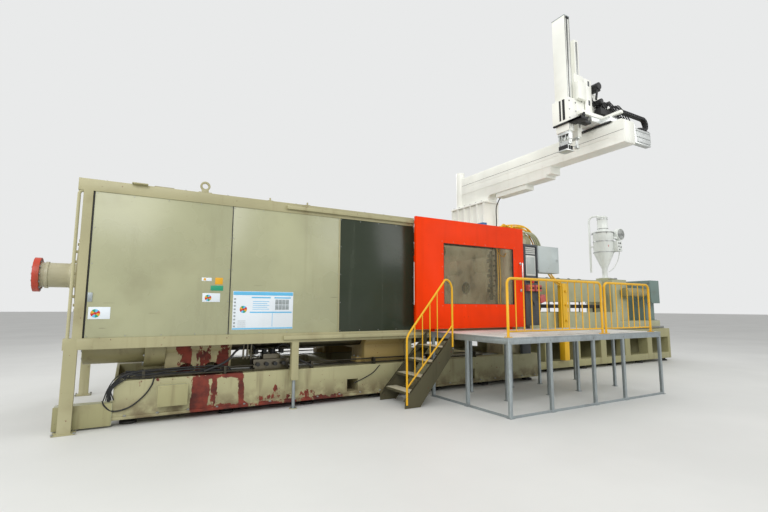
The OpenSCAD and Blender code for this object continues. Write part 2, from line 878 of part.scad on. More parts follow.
module door_shell() {
    z0 = door_bottom;
    z1 = door_top;
    difference() {
        union() {
            difference() {
                block([-door_left, -door_front_y, z0], [door_right, -door_back_y, z1]);
                block([-door_left + 4, -door_front_y + 4, z0 + 4], [door_right - 4, -door_back_y + 1, z1 - 4]);
            }
            block([-window_left - pane_lap, -door_front_y + 1, window_bottom - pane_lap],
                [window_right + pane_lap, -door_back_y - 20, window_top + pane_lap]);
            for (x = [-door_left + 300, door_right - 200])
                block([x - 25, -door_front_y + 1, z0 + 1], [x + 25, -door_back_y, z1 - 1]);
        }
        block([-window_left, -door_front_y - 1, window_bottom], [window_right, -door_back_y + 1, window_top]);
        block([-window_left - 20, -door_back_y - 20 - pane_t - run_gap, window_bottom - 20],
            [window_right + 20, -door_back_y + 1, window_top + 20]);
    }
    for (x = [-door_left + 400, door_right - 400]) {
        block([x - 60, -door_back_y - 8, track_top + 5], [x + 60, -door_back_y, door_bottom + 60]);
        block([x - 60, -door_back_y - 1, top_track_z + track_h + run_gap],
            [x + 60, -cover_y - 10, top_track_z + track_h + 26]);
        block([x - 60, -door_front_y + 1, top_track_z + track_h + run_gap], [x + 60, -door_back_y, z1 - 1]);
        rod_y(-door_back_y - 1, -cover_y - 8, 10, x, track_top + run_gap + roller_r);
    }
}

module door_pane() {
    block([-window_left - 18, -door_back_y - 20 - pane_t, window_bottom - 18],
        [window_right + 18, -door_back_y - 20, window_top + 18]);
}

module door_handle() {
    x = door_right - 100;
    z0 = 1980;
    z1 = 2590;
    y = -door_front_y - 60;
    rod_z(z0, z1, 15, x, y);
    for (z = [z0 + 15, z1 - 15]) rod_y(y, -door_front_y, 15, x, z);
}

module door_rollers() {
    for (x = [-door_left + 400, door_right - 400]) difference() {
        rod_y(-cover_y - 38, -cover_y - 10, roller_r, x, track_top + run_gap + roller_r);
        rod_y(-cover_y - 40, -cover_y - 8, 10 + fit_gap, x, track_top + run_gap + roller_r);
    }
}

module front_door() {
    color(orange) door_shell();
}

module front_window() {
    color("#b8bcb0") door_pane();
}

module front_door_fittings() {
    color("#d8d4c8") {
        door_handle();
        door_rollers();
    }
}

module rear_door() {
    color(orange) mirror([0, 1, 0]) {
        door_shell();
        door_handle();
        door_rollers();
    }
}

module rear_window() {
    color("#b8bcb0") mirror([0, 1, 0]) door_pane();
}

module door_tracks() {
    color("#7d7a6c") both_sides() {
        block([-door_left - door_travel - 60, -cover_y - track_w, track_top - track_h], [sill_end, -cover_y, track_top]);
        block([-door_left - door_travel - 60, -cover_y - track_w, top_track_z], [sill_end, -cover_y, top_track_z + track_h]);
        block([sill_end - 90, -cover_y, top_track_z], [sill_end, -platen_w / 2, top_track_z + track_h]);
        block([sill_end - 90, -cover_y + frame_d, rail_bottom], [sill_end, -platen_w / 2, rail_top]);
    }
}

module control_column() {
    color("#4b4f4e") difference() {
        union() {
            block([column_left, -column_front, column_bottom], [column_right, -column_back, column_top]);
            block([column_left + 80, -bed_w / 2, bed_top], [column_right - 80, -column_back, column_bottom + 1]);
        }
        block([column_left + 35, -column_front - 1, 2300], [column_right - 35, -column_front + screen_recess, 3010]);
        rod_y(-column_front - 1, -column_front + 60, 12 + fit_gap, stop_x, stop_z);
    }
}

// Emergency stop place on the control column
stop_x = column_left + 215;
stop_z = 2200;

module control_screen() {
    y = -column_front + screen_recess;
    color("#c9cdc8") {
        block([column_left + 60, y - 12, screen_low], [column_right - 60, y, screen_low + screen_h]);
        for (i = [0 : 7]) for (j = [0 : 3]) {
            x = column_left + 65 + i * key_pitch_x;
            z = keys_low + j * key_pitch_z;
            block([x, y - 8, z], [x + key_pitch_x - 8, y, z + key_pitch_z - 10]);
        }
    }
}

module emergency_stop() {
    color("#c8281e") {
        rod_y(-column_front - 42, -column_front - 10, 32, stop_x, stop_z);
        rod_y(-column_front - 11, -column_front + 40, 12, stop_x, stop_z);
    }
}

module switch_boxes() {
    color("#b4574e") {
        for (x = switch_boxes_left) difference() {
            block([x, -column_front - switch_box_d, switch_box_low],
                [x + switch_box_w, -column_front, switch_box_low + switch_box_h]);
            block([x + 30, -column_front - switch_box_d - 1, switch_box_low + 30],
                [x + switch_box_w - 30, -column_front - switch_box_d + 6, switch_box_low + switch_box_h - 30]);
        }
        block([column_right, -column_front + 20, tilt_box_low], [column_right + 60, -column_front + 90, tilt_box_low + 70]);
        translate([column_right + 30, -column_front + 60, tilt_box_low + 40]) rotate([0, -18, 0])
            block([0, -90, -80], [170, 60, 80]);
    }
}

module side_cabinet() {
    color("#b9c0bc") {
        difference() {
            block([cabinet_left, -cabinet_front, cabinet_bottom], [cabinet_right, -cabinet_back, column_top]);
            block([cabinet_left + 15, -cabinet_front - 1, cabinet_bottom + 15], [cabinet_right - 15, -cabinet_back - 15, column_top - 15]);
        }
        block([column_right, -cabinet_back - 120, cabinet_bottom + 80], [cabinet_left + 1, -cabinet_back - 20, column_top - 80]);
        for (z = [cabinet_bottom + 60, column_top - 100]) difference() {
            union() {
                rod_z(z, z + 40, hinge_r, cabinet_left - hinge_r, -cabinet_front - hinge_r);
                block([cabinet_left - 2 * hinge_r, -cabinet_front - hinge_r, z], [cabinet_left, -cabinet_front + 10, z + 40]);
                block([cabinet_left - 1, -cabinet_front, z], [cabinet_left + 8, -cabinet_front + 10, z + 40]);
            }
            rod_z(z - 1, z + 41, hinge_r - 3 + slide_gap, cabinet_left - hinge_r, -cabinet_front - hinge_r);
        }
    }
}

module cabinet_door() {
    hinge_x = cabinet_left - hinge_r;
    hinge_y = -cabinet_front - hinge_r;
    color("#c4cac6") {
        block([cabinet_left + 2, -cabinet_front - door_sheet - run_gap, cabinet_bottom + 3],
            [cabinet_right - 2, -cabinet_front - run_gap, column_top - 3]);
        rod_z(cabinet_bottom + 40, column_top - 45, hinge_r - 3, hinge_x, hinge_y);
        block([hinge_x, hinge_y - 6, cabinet_bottom + 104], [cabinet_left + 3, hinge_y + 3, column_top - 104]);
        rod_y(-cabinet_front - door_sheet - 40, -cabinet_front - door_sheet, 12, cabinet_right - 60, (cabinet_bottom + column_top) / 2);
    }
}

module carriage() {
    color("#a9a68c") {
        difference() {
            union() {
                block([base_left, -base_half, base_bottom], [base_right, base_half, base_top]);
                block([base_left, -350, base_top - 1], [base_left + yoke_len, 350, centre_z + 320]);
                block([block_left, -block_half, base_top - 1], [block_right, block_half, block_top]);
                block([throat_x - 200, -180, block_top - 1], [throat_x + 200, 180, gate_top]);
                both_sides() block([base_left + 300, -base_half, base_top - 1], [block_left + 1, -base_half + 30, base_top + 260]);
            }
            rod_x(base_left - 1, block_right + 1, barrel_r + fit_gap);
            rod_z(centre_z, gate_top + 1, throat_r, throat_x, 0);
            block([throat_x - gate_half - 1, -200, gate_z - run_gap],
                [throat_x + gate_half + 1, gate_half + 2, gate_z + gate_t + run_gap]);
            block([base_left + 400, -base_half + 100, base_bottom + 60], [block_left - 200, base_half - 100, base_top + 1]);
        }
    }
}

module barrel() {
    color(steel) difference() {
        rod_x(barrel_left, barrel_right, barrel_r);
        rod_x(screw_left - 30, barrel_right + 1, screw_r + slide_gap);
        rod_x(barrel_left - 1, screw_left, 40);
        rod_z(centre_z, centre_z + barrel_r + 1, throat_r, throat_x, 0);
    }
}

module heater_bands() {
    bands = 10;
    band_gap = 50;
    first = barrel_left + 80;
    zone = block_left - 150 - first;
    band_len = zone / bands - band_gap;
    color("#9a9a94") for (i = [0 : bands - 1]) {
        x = first + i * zone / bands;
        if (x + band_len < base_left - 20 || x > base_left + yoke_len + 20) difference() {
            union() {
                rod_x(x, x + band_len, barrel_r + 28);
                block([x + 40, -70, centre_z + barrel_r + 5], [x + band_len - 40, 70, centre_z + barrel_r + 70]);
            }
            rod_x(x - 1, x + band_len + 1, barrel_r + fit_gap);
        }
    }
}

module nozzle() {
    color("#7c7872") difference() {
        union() {
            translate([nozzle_x, 0, centre_z]) rotate([0, 90, 0]) rotate_extrude()
                polygon([[0, 0], [nozzle_tip_r, 0], [nozzle_tip_r + 5, 200], [nozzle_root_r - 20, 240],
                    [nozzle_root_r, 330], [head_r, 330], [head_r, 489.7], [0, 489.7]]);
        }
        rod_x(nozzle_x - 1, barrel_left + 1, 10);
    }
}

module screw() {
    flight_start = screw_left + screw_tip_len + 60;
    flight_len = throat_x + 150 - flight_start;
    lobe = 26;
    color(chrome) {
        rod_x(flight_start - 80, drive_left + 200, root_r);
        rod_x(flight_start + flight_len - 1, drive_left + 200, shank_r);
        translate([screw_left, 0, centre_z]) rotate([0, 90, 0]) rotate_extrude()
            polygon([[0, 0], [12, 0], [root_r, 90], [root_r, 120], [screw_r, 150], [screw_r, 190], [root_r, 200], [root_r, 260], [0, 260]]);
        translate([flight_start, 0, centre_z]) rotate([0, 90, 0])
            linear_extrude(height = flight_len, twist = -360 * flights, slices = flights * 12, $fn = 4)
                polygon([for (a = [0 : 3]) (a == 0 || a == 3 ? root_r * 0.8 : screw_r) * [cos(a * lobe / 3), sin(a * lobe / 3)]]);
    }
}

module injection_cylinders() {
    color(beige) for (y = [-cyl_y, cyl_y]) difference() {
        union() {
            rod_x(inj_cyl_left, inj_cyl_right, inj_cyl_r, y);
            block([block_right - 200, y < 0 ? y : block_half, centre_z - 110],
                [block_right - 60, y < 0 ? -block_half : y, centre_z + 110]);
        }
        rod_x(inj_cyl_left + 40, inj_cyl_right - 80, inj_cyl_r - 25, y);
        rod_x(inj_cyl_right - 81, inj_cyl_right + 1, inj_rod_r + slide_gap, y);
    }
}

module drive_block() {
    color("#8f9288") {
        difference() {
            block([drive_left, -drive_half, base_top + run_gap], [drive_right, drive_half, centre_z + 380]);
            both_sides() block([drive_left - 1, -drive_half - 1, base_top], [drive_right + 1, -drive_half + 190, centre_z - 320]);
            rod_x(drive_left - 1, drive_left + 205, shank_r + slide_gap);
        }
        rod_x(drive_right - 1, drive_right + motor_len, motor_r);
        rod_x(drive_right - 1, drive_right + 60, motor_r + 60);
        for (y = [-cyl_y, cyl_y]) rod_x(inj_rod_left, drive_left + 1, inj_rod_r, y);
    }
}

module hopper_body() {
    w = hopper_wall;
    color("#dcdfdd") {
        translate([throat_x, 0, 0]) rotate_extrude() polygon([
            [throat_r, gate_top], [170, gate_top], [170, gate_top + 20], [throat_r + w, gate_top + 20],
            [throat_r + w, neck_top], [hopper_r, cone_top], [hopper_r, hopper_top - 12], [hopper_r + 20, hopper_top - 12],
            [hopper_r + 20, hopper_top], [hopper_r - w, hopper_top], [hopper_r - w, cone_top + 2], [throat_r, neck_top + 2]]);
        for (y = [-70, 50]) difference() {
            block([throat_x + hopper_r + 12, y, hopper_top - 40], [lid_hinge_x + 14, y + 20, hopper_top + 34]);
            rod_y(y - 1, y + 21, 8 + fit_gap, lid_hinge_x, hopper_top + 20);
            rod_z(hopper_top - 0.01, hopper_top + 60, hopper_r + 22, throat_x, 0);
        }
    }
}

module hopper_lid() {
    z = hopper_top + run_gap;
    color("#d4d6d2") {
        translate([throat_x, 0, 0]) rotate_extrude() polygon([[0, z], [hopper_r + 18, z], [hopper_r + 18, z + 12],
            [hopper_r * 0.75, z + lid_t], [loader_r, z + lid_t], [loader_r, z + lid_t + loader_h],
            [loader_r + 12, z + lid_t + loader_h], [loader_r + 12, z + lid_t + loader_h + 22],
            [loader_r - 40, z + lid_t + loader_h + 60], [0, z + lid_t + loader_h + 60]]);
        rod_y(-48, 48, 16, lid_hinge_x, hopper_top + 20);
        rod_y(-72, 72, 8, lid_hinge_x, hopper_top + 20);
        block([throat_x + hopper_r - 20, -40, z], [lid_hinge_x, 40, z + 12]);
    }
}

module hopper_blower() {
    bx = throat_x + hopper_r + blower_out;
    by = -240;
    bz = hopper_top - 60;
    pipe_x = throat_x - 200;
    pipe_y = 330;
    pipe_r = 32;
    color("#d0d4d2") {
        difference() {
            union() {
                rod_y(by - 70, by + 70, blower_r, bx, bz);
                rod_y(by + 69, by + 230, 80, bx, bz);
                block([throat_x + 150, by - 40, bz - 150], [bx, by + 60, bz - 90]);
                block([bx - 40, by - 40, bz - 150], [bx + 40, by + 60, bz - 60]);
                block([throat_x + 100, -hopper_r - 110, cone_top + 40], [throat_x + 330, -hopper_r + 110, cone_top + 360]);
            }
            rod_z(cone_top - 100, hopper_top, hopper_r + run_gap, throat_x, 0);
        }
        rod_z(gate_top + 200, hopper_top + 260, pipe_r, pipe_x, pipe_y);
        difference() {
            block([pipe_x - 20, pipe_y - 160, cone_top + 200], [pipe_x + 20, pipe_y, cone_top + 240]);
            rod_z(cone_top - 100, hopper_top, hopper_r + run_gap, throat_x, 0);
        }
    }
}

module slide_gate() {
    color(steel) {
        block([throat_x - gate_half, -330, gate_z], [throat_x + gate_half, gate_half, gate_z + gate_t]);
        block([throat_x - 60, -350, gate_z - 20], [throat_x + 60, -330, gate_z + gate_t + 20]);
    }
}

module purge_guard() {
    reach = 420;
    low = centre_z - 360;
    top = guard_hinge_z - 12;
    color(yellow) {
        block([guard_left, -reach, top - 4], [guard_right, guard_hinge_y, top]);
        block([guard_left, -reach, low], [guard_right, -reach + 4, top]);
        block([guard_left, -reach, low], [guard_left + 4, -reach + 140, top]);
        block([guard_right - 4, -reach, low], [guard_right, -reach + 140, top]);
        block([guard_left, guard_hinge_y - 14, top - 4], [guard_right, guard_hinge_y + 14, guard_hinge_z + 14]);
        rod_x(fixed_t + 4, guard_right + 36, hinge_r, guard_hinge_y, guard_hinge_z);
    }
}

module robot_pedestal() {
    ribs = 6;
    rib_t = 24;
    z0 = platen_top;
    pitch = (pedestal_far - pedestal_near - 80) / (ribs - 1);
    color(robot_white) difference() {
        union() {
            block([pedestal_left + 60, pedestal_near + 40, z0], [pedestal_right - 60, pedestal_far - 40, pedestal_top]);
            block([pedestal_left, pedestal_near, z0], [pedestal_right, pedestal_far, z0 + 40]);
            block([pedestal_left, pedestal_near, pedestal_top - 40], [pedestal_right, pedestal_far, pedestal_top]);
            for (i = [0 : ribs - 1]) block([pedestal_left, pedestal_near + 40 + i * pitch - rib_t / 2, z0 + 1],
                [pedestal_right, pedestal_near + 40 + i * pitch + rib_t / 2, pedestal_top - 1]);
        }
        block([pedestal_left + 90, pedestal_near + 70, z0 - 1], [pedestal_right - 90, pedestal_far - 70, pedestal_top - 60]);
    }
}

module robot_beam() {
    cap_y = -beam_reach;
    wall = 14;
    support_low = beam_low - support_h;
    gusset = 260;
    color(robot_white) {
        difference() {
            union() {
                block([robot_beam_left, cap_y, beam_low], [robot_beam_right, robot_beam_far, beam_high]);
                block([robot_beam_left + 10, support_near, support_low], [robot_beam_right - 10, robot_beam_far, beam_low + 1]);
                block([robot_beam_left + 10, pedestal_near - 60, pedestal_top], [robot_beam_right - 10, robot_beam_far, support_low + 1]);
                rod_z(pedestal_top, beam_high + 190, column_r, robot_beam_left + 40, robot_beam_far - 10);
            }
            block([robot_beam_left + wall, cap_y + wall, beam_low + wall], [robot_beam_right - wall, robot_beam_far - 200, beam_high - wall]);
            block([robot_beam_left - 1, support_near - 1, support_low - 1], [robot_beam_right + 1, support_near + 120, support_low + 60]);
            rod_x(robot_beam_left - 1, robot_beam_right + 1, 100, pedestal_near - 60, pedestal_top + 50);
            block([robot_beam_left - 1, cap_y + 300, beam_low + 150], [robot_beam_left + 6, robot_beam_far - 300, beam_low + 162]);
        }
        for (x = [robot_beam_left + 40, robot_beam_right - 80])
            block([x, cap_y + 60, beam_high - 1], [x + 40, robot_beam_far - 150, beam_high + beam_rail_h]);
        block([robot_beam_left + 40, support_near + drive_box_from, support_low - drive_box_h],
            [robot_beam_right - 40, support_near + drive_box_from + drive_box_len, support_low + 1]);
    }
}

// Two slotted rails beside the beam's near end, that carry the cable chain
module side_rails() {
    top_near = side_rail_near + side_rail_d - 10;
    difference() {
        union() {
            block([side_rail_left, side_rail_near, low_rail_bottom], [low_rail_right, side_rail_near + side_rail_d, low_rail_top]);
            block([side_rail_left, top_near, low_rail_top - 10], [top_rail_right, top_near + side_rail_d + 10, top_rail_top]);
            block([side_rail_left, side_rail_near, low_rail_bottom], [side_rail_left + 36, carriage_near + 300, top_rail_top]);
        }
        block([side_rail_left + 60, side_rail_near - 1, low_rail_top - 40], [low_rail_right + 1, side_rail_near + 14, low_rail_top - 26]);
        block([side_rail_left + 60, side_rail_near - 1, low_rail_bottom + 26], [low_rail_right + 1, side_rail_near + 14, low_rail_bottom + 40]);
        block([side_rail_left + 60, top_near - 1, top_rail_top - 50], [top_rail_right + 1, top_near + 14, top_rail_top - 36]);
        block([low_rail_right - 14, side_rail_near + 30, low_rail_bottom + 60], [low_rail_right + 1, side_rail_near + 70, low_rail_top - 60]);
        block([top_rail_right - 14, top_near + 35, low_rail_top + 50], [top_rail_right + 1, top_near + 75, top_rail_top - 60]);
    }
}

module traverse_carriage() {
    low = beam_high - 60;
    color("#c9cbc8") {
        difference() {
            union() {
                block([robot_beam_left - 40, carriage_near, carriage_bottom], [robot_beam_right + 40, carriage_far, carriage_top]);
                block([kick_base_left, carriage_near + 200, carriage_bottom + 10], [kick_base_right, carriage_far - 160, carriage_top]);
                block([robot_beam_right + 4, carriage_near + 60, low], [robot_beam_right + 40, carriage_far - 60, carriage_bottom + 1]);
            }
            block([kick_base_left + 60, carriage_near + 260, carriage_bottom + 50],
                [robot_beam_left - 80, carriage_far - 220, carriage_top + 1]);
            block([robot_beam_right + 80, carriage_near + 260, carriage_bottom + 50],
                [kick_base_right - 60, carriage_far - 220, carriage_top + 1]);
        }
        for (y = [carriage_near + 230, carriage_far - 230])
            block([kick_base_left + 10, y, carriage_top - 1], [kick_base_right - 10, y + 40, carriage_top + kick_rail_h]);
        side_rails();
        rod_z(carriage_top - 1, carriage_top + 230, 70, robot_beam_right - 60, carriage_far - 90);
    }
}

module cable_chain() {
    top = chain_low + 2 * chain_bend;
    color("#26282a") {
        for (i = [0 : chain_links - 1]) chain_link([chain_x - (i + 0.5) * chain_link_len, chain_y, top], 0);
        for (a = [-75 : 30 : 75])
            chain_link([chain_x + chain_bend * cos(a), chain_y, chain_low + chain_bend + chain_bend * sin(a)], 90 - a);
        for (i = [0 : 1]) chain_link([chain_x - (i + 0.5) * chain_link_len, chain_y, chain_low], 0);
        block([chain_x - 2 * chain_link_len - 60, chain_y, top_rail_top + run_gap], [chain_x - 2 * chain_link_len, chain_y + chain_w, chain_low + 8]);
    }
}

module chain_link(centre, tilt) {
    length = chain_link_len;
    translate(centre) rotate([0, tilt, 0]) difference() {
        translate([-length / 2 - 1, 0, -chain_t / 2]) cube([length + 2, chain_w, chain_t]);
        translate([-length / 2 + 14, -1, -chain_t / 4]) cube([length - 28, chain_w + 2, chain_t / 2]);
    }
}

module kick_slide() {
    x0 = main_left - guide_wall;
    g = run_gap;
    color("#d8dad6") difference() {
        union() {
            block([runner_left - 40, carriage_near + 220, kick_bottom], [kick_base_right - 500, carriage_far - 180, kick_bottom + kick_t]);
            block([x0, arm_near - guide_wall, guide_low], [main_right + guide_wall, arm_far + guide_wall, guide_high]);
            block([main_right + guide_wall - 1, arm_near - 20, guide_low + 60], [runner_right + guide_wall, arm_far + 20, guide_high + 520]);
            rod_z(kick_bottom + kick_t - 1, kick_bottom + kick_t + 330, 75, runner_right + 190, arm_mid);
            block([chain_end - run_gap - 70, chain_y, kick_bottom + 20], [chain_end - run_gap, carriage_near + 221, kick_bottom + kick_t]);
        }
        block([main_left - g, arm_near - g, guide_low - 1], [main_right + g, arm_far + g, guide_high + 1]);
        block([runner_left - g, arm_near + 20 - g, guide_low - 1], [runner_right + g, arm_far - 20 + g, guide_high + 600]);
    }
}

module main_arm() {
    top = arm_bottom + main_arm_len;
    color(robot_white) difference() {
        block([main_left, arm_near, arm_bottom], [main_right, arm_far, top]);
        block([main_left + arm_wall, arm_near + arm_wall, arm_bottom + pad_len], [main_right - arm_wall, arm_far - arm_wall, top - arm_wall]);
        block([main_mid - inner_w / 2 - run_gap, arm_mid - inner_d / 2 - run_gap, arm_bottom - 1],
            [main_mid + inner_w / 2 + run_gap, arm_mid + inner_d / 2 + run_gap, arm_bottom + pad_len + 1]);
        block([main_mid - arm_slot / 2, arm_near - 1, arm_bottom + pad_len], [main_mid + arm_slot / 2, arm_near + arm_wall + 1, top - 60]);
    }
}

module inner_arm() {
    low = wrist_z - 40;
    top = arm_bottom - 60 + inner_len;
    color("#cfd2d0") {
        block([main_mid - inner_w / 2, arm_mid - inner_d / 2, arm_bottom - 60], [main_mid + inner_w / 2, arm_mid + inner_d / 2, top]);
        block([main_left + arm_wall + run_gap, arm_near + arm_wall + run_gap, top - 40 - pad_len],
            [main_right - arm_wall - run_gap, arm_far - arm_wall - run_gap, top - 40]);
        for (s = [-1, 1]) difference() {
            block([main_mid - 40, arm_mid + s * 100 - ear_t / 2, low], [main_mid + 40, arm_mid + s * 100 + ear_t / 2, arm_bottom - 59]);
            rod_y(arm_mid + s * 100 - ear_t, arm_mid + s * 100 + ear_t, wrist_pin_r + fit_gap, main_mid, wrist_z);
        }
    }
}

module wrist() {
    color("#b6b9b6") difference() {
        union() {
            rod_y(arm_mid - 100 - ear_t / 2 - 6, arm_mid + 100 + ear_t / 2 + 6, wrist_pin_r, main_mid, wrist_z);
            rod_y(arm_mid - 100 + ear_t / 2 + run_gap, arm_mid + 100 - ear_t / 2 - run_gap, 38, main_mid, wrist_z);
            block([main_mid - 38, arm_mid - 80, flange_bottom + 1], [main_mid + 38, arm_mid + 80, wrist_z]);
            block([main_mid - flange_w / 2, arm_mid - flange_w / 2, flange_bottom], [main_mid + flange_w / 2, arm_mid + flange_w / 2, flange_bottom + flange_t]);
        }
        for (x = [-1, 1]) for (y = [-1, 1])
            rod_z(flange_bottom - 1, flange_bottom + flange_t + 1, flange_hole_r, main_mid + x * flange_pitch / 2, arm_mid + y * flange_pitch / 2);
    }
}

module runner_arm() {
    top = arm_bottom + 50 + runner_arm_len;
    near = arm_near + 20;
    far = arm_far - 20;
    color(robot_white) difference() {
        block([runner_left, near, arm_bottom + 50], [runner_right, far, top]);
        block([runner_left + 10, near + 10, arm_bottom + 49], [runner_right - 10, far - 10, top - 10]);
        block([runner_left + 45, near - 1, arm_bottom + 110], [runner_right - 45, near + 11, top - 60]);
    }
    color("#b6b9b6") block([runner_left + 9, near + 9, arm_bottom - 60], [runner_right - 9, far - 9, arm_bottom + 100]);
}

module platform_frame() {
    rows = post_rows;
    h = post_w / 2;
    x0 = post_xs[0] - h;
    x1 = post_xs[4] + h;
    color(zinc) {
        for (x = post_xs) for (y = rows) {
            block([x - h, y - h, 0], [x + h, y + h, frame_top]);
            block([x - 45, y - 45, 0], [x + 45, y + 45, 8]);
        }
        for (y = rows) block([x0, y - h, frame_top - beam_under], [x1, y + h, frame_top]);
        for (x = post_xs) block([x - h, rows[0] - h, frame_top - beam_under], [x + h, rows[2] + h, frame_top]);
        block([x0, rows[0] - h, 0], [x1, rows[0] - h + 6, 40]);
        block([x0, rows[0] - h, 0], [x0 + 6, rows[2] + h, 40]);
    }
}

module platform_deck() {
    color("#b4b7b2") block([-deck_left, -deck_front, frame_top], [deck_right, -deck_back, deck_top]);
}

// A railing bay: two posts with bent corners, a lower rail and its balusters
module railing_bay(x0, x1, count) {
    z0 = deck_top;
    z1 = deck_top + railing_h;
    y = railing_y;
    pitch = (x1 - x0) / (count + 1);
    for (x = [x0, x1]) {
        rod_z(z0 + base_plate_t - 1, z1 - railing_bend, tube_r, x, y);
        block([x - base_plate_w / 2, y - base_plate_w / 2, z0], [x + base_plate_w / 2, y + base_plate_w / 2, z0 + base_plate_t]);
    }
    elbow_up([x0, y, z1], railing_bend, tube_r, 1);
    elbow_up([x1, y, z1], railing_bend, tube_r, -1);
    rod_x(x0 + railing_bend, x1 - railing_bend, tube_r, y, z1);
    rod_x(x0, x1, baluster_r + 4, y, z0 + low_rail_h);
    for (i = [1 : count]) rod_z(z0 + low_rail_h, z1, baluster_r, x0 + i * pitch, y);
}

module railings() {
    color(yellow) {
        railing_bay(railing_1[0], railing_1[1], 12);
        railing_bay(railing_2[0], railing_2[1], 7);
    }
}

function stair_x(z) = stair_toe + (z - toe_h) / (deck_top - toe_h) * stair_run;

module stringer(y0) {
    flange_slope = 12;
    translate([0, y0 + stringer_t, 0]) rotate([90, 0, 0]) linear_extrude(stringer_t)
        polygon([[stair_toe, 0], [stair_toe + 300, 0], [-deck_left, deck_top - stringer_depth], [-deck_left, deck_top], [stair_toe, toe_h]]);
}

module stringer_edge(y0) {
    edge = 10;
    translate([0, y0 + stringer_flange, 0]) rotate([90, 0, 0]) linear_extrude(stringer_flange) {
        polygon([[stair_toe, toe_h - edge], [-deck_left, deck_top - edge], [-deck_left, deck_top], [stair_toe, toe_h]]);
        polygon([[stair_toe + 300, 0], [-deck_left, deck_top - stringer_depth], [-deck_left, deck_top - stringer_depth + edge], [stair_toe + 300 - edge, 0]]);
    }
}

module stair() {
    far = stair_far;
    rise = deck_top / steps;
    color("#a7a48c") {
        stringer(stair_near);
        stringer_edge(stair_near);
        stringer(far - stringer_t);
        stringer_edge(far - stringer_flange);
        for (i = [1 : steps - 1]) {
            z = i * rise;
            x = max(stair_x(z) - 10, stair_toe + 5);
            block([x, stair_near + 1, z - tread_t], [x + tread_d, far - 1, z - tread_t + 8]);
            block([x, stair_near + 1, z - tread_t], [x + 8, far - 1, z]);
            block([x + tread_d - 8, stair_near + 1, z - tread_t], [x + tread_d, far - 1, z]);
            block([x, stair_near + 1, z - 6], [x + tread_d, far - 1, z]);
        }
    }
}

module stair_handrail() {
    y = stair_near - rail_tube_r - run_gap;
    low_x = stair_toe + 30;
    top_x = -deck_left - 40;
    top_z = deck_top + 810;
    low_z = 1150;
    slope = (top_z - low_z) / (top_x - low_x);
    lower = function (x) 330 + (x - low_x) * slope * 1.18;
    color(yellow) {
        rod_z(60, low_z, rail_tube_r, low_x, y);
        rod_z(deck_top - 230, top_z, rail_tube_r, top_x, y);
        strut([low_x, y, low_z], [top_x - 170, y, top_z + 90], rail_tube_r);
        strut([top_x - 170, y, top_z + 90], [top_x, y, top_z], rail_tube_r);
        for (p = [[low_x, low_z], [top_x - 170, top_z + 90], [top_x, top_z]]) translate([p[0], y, p[1]]) sphere(r = rail_tube_r + 2);
        strut([low_x, y, 330], [top_x, y, lower(top_x)], rail_tube_r - 3);
        for (i = [1 : 4]) {
            x = low_x + i * (top_x - 170 - low_x) / 5;
            rod_z(lower(x), low_z + (x - low_x) * (top_z + 90 - low_z) / (top_x - 170 - low_x), baluster_r, x, y);
        }
    }
}

module oil_tank() {
    x0 = 2300;
    x1 = 4900;
    y0 = inj_bed_w / 2;
    y1 = 1750;
    top = 820;
    color("#7f8f8a") {
        block([x0, y0, foot_h], [x1, y1, top]);
        for (x = [x0, x0 + 300, x1 - 100]) block([x, y0 + 20, 0], [x + 100, y1 - 20, foot_h + 1]);
        for (i = [0 : 2]) {
            y = y0 + 220 + i * 310;
            block([x0 + 250, y - 100, top - 1], [x0 + 1150, y + 100, top + 50]);
            rod_x(x0 + 200, x0 + 850, 120, y, top + 180);
            rod_x(x0 + 849, x0 + 1250, 80, y, top + 180);
            block([x0 + 300, y - 60, top + 40], [x0 + 1100, y + 60, top + 120]);
        }
        block([x1 - 900, y0 + 200, top - 1], [x1 - 150, y1 - 200, top + 260]);
    }
}

// A tube swept along a route of points, by rings of eight
module hose(route) {
    n = len(route);
    sides = 8;
    dirs = [for (i = [0 : n - 1]) let (a = route[max(i - 1, 0)], b = route[min(i + 1, n - 1)]) (b - a) / norm(b - a)];
    rings = [for (i = [0 : n - 1]) let (t = dirs[i], u0 = cross(t, [0, 0, 1]), u = u0 / norm(u0), v = cross(u, t))
        for (k = [0 : sides - 1]) route[i] + hose_r * (cos(k * 45) * u + sin(k * 45) * v)];
    walls = [for (i = [0 : n - 2]) for (k = [0 : sides - 1]) let (m = (k + 1) % sides)
        [i * sides + k, i * sides + m, (i + 1) * sides + m, (i + 1) * sides + k]];
    polyhedron(rings, concat(walls, [[for (k = [sides - 1 : -1 : 0]) k], [for (k = [0 : sides - 1]) (n - 1) * sides + k]]));
}

module hoses() {
    color(yellow) {
        for (route = hose_routes) hose([for (p = route) [p[0], p[1], p[2] + platen_top + 40]]);
        block([180, -760, platen_top], [250, -560, platen_top + 180]);
        block([2500, -860, foot_h + 200], [2680, -inj_bed_w / 2, platen_top - 1090]);
    }
}

clamp_bed();
injection_bed();
machine_feet();
bed_ways();
fixed_platen();
rear_platen();
moving_platen();
tie_bars();
tie_bar_nuts();
clamp_cylinder();
clamp_ram();
booster_cylinder();
jack_cylinders();
jack_rods();
ejector_plate();
cover_frame();
front_covers();
grey_cover();
rear_covers();
lifting_lugs();
front_door();
front_window();
front_door_fittings();
rear_door();
rear_window();
door_tracks();
control_column();
control_screen();
emergency_stop();
switch_boxes();
side_cabinet();
cabinet_door();
carriage();
barrel();
heater_bands();
nozzle();
screw();
injection_cylinders();
drive_block();
hopper_body();
hopper_lid();
hopper_blower();
slide_gate();
purge_guard();
robot_pedestal();
robot_beam();
traverse_carriage();
cable_chain();
kick_slide();
main_arm();
inner_arm();
wrist();
runner_arm();
platform_frame();
platform_deck();
railings();
stair();
stair_handrail();
oil_tank();
hoses();
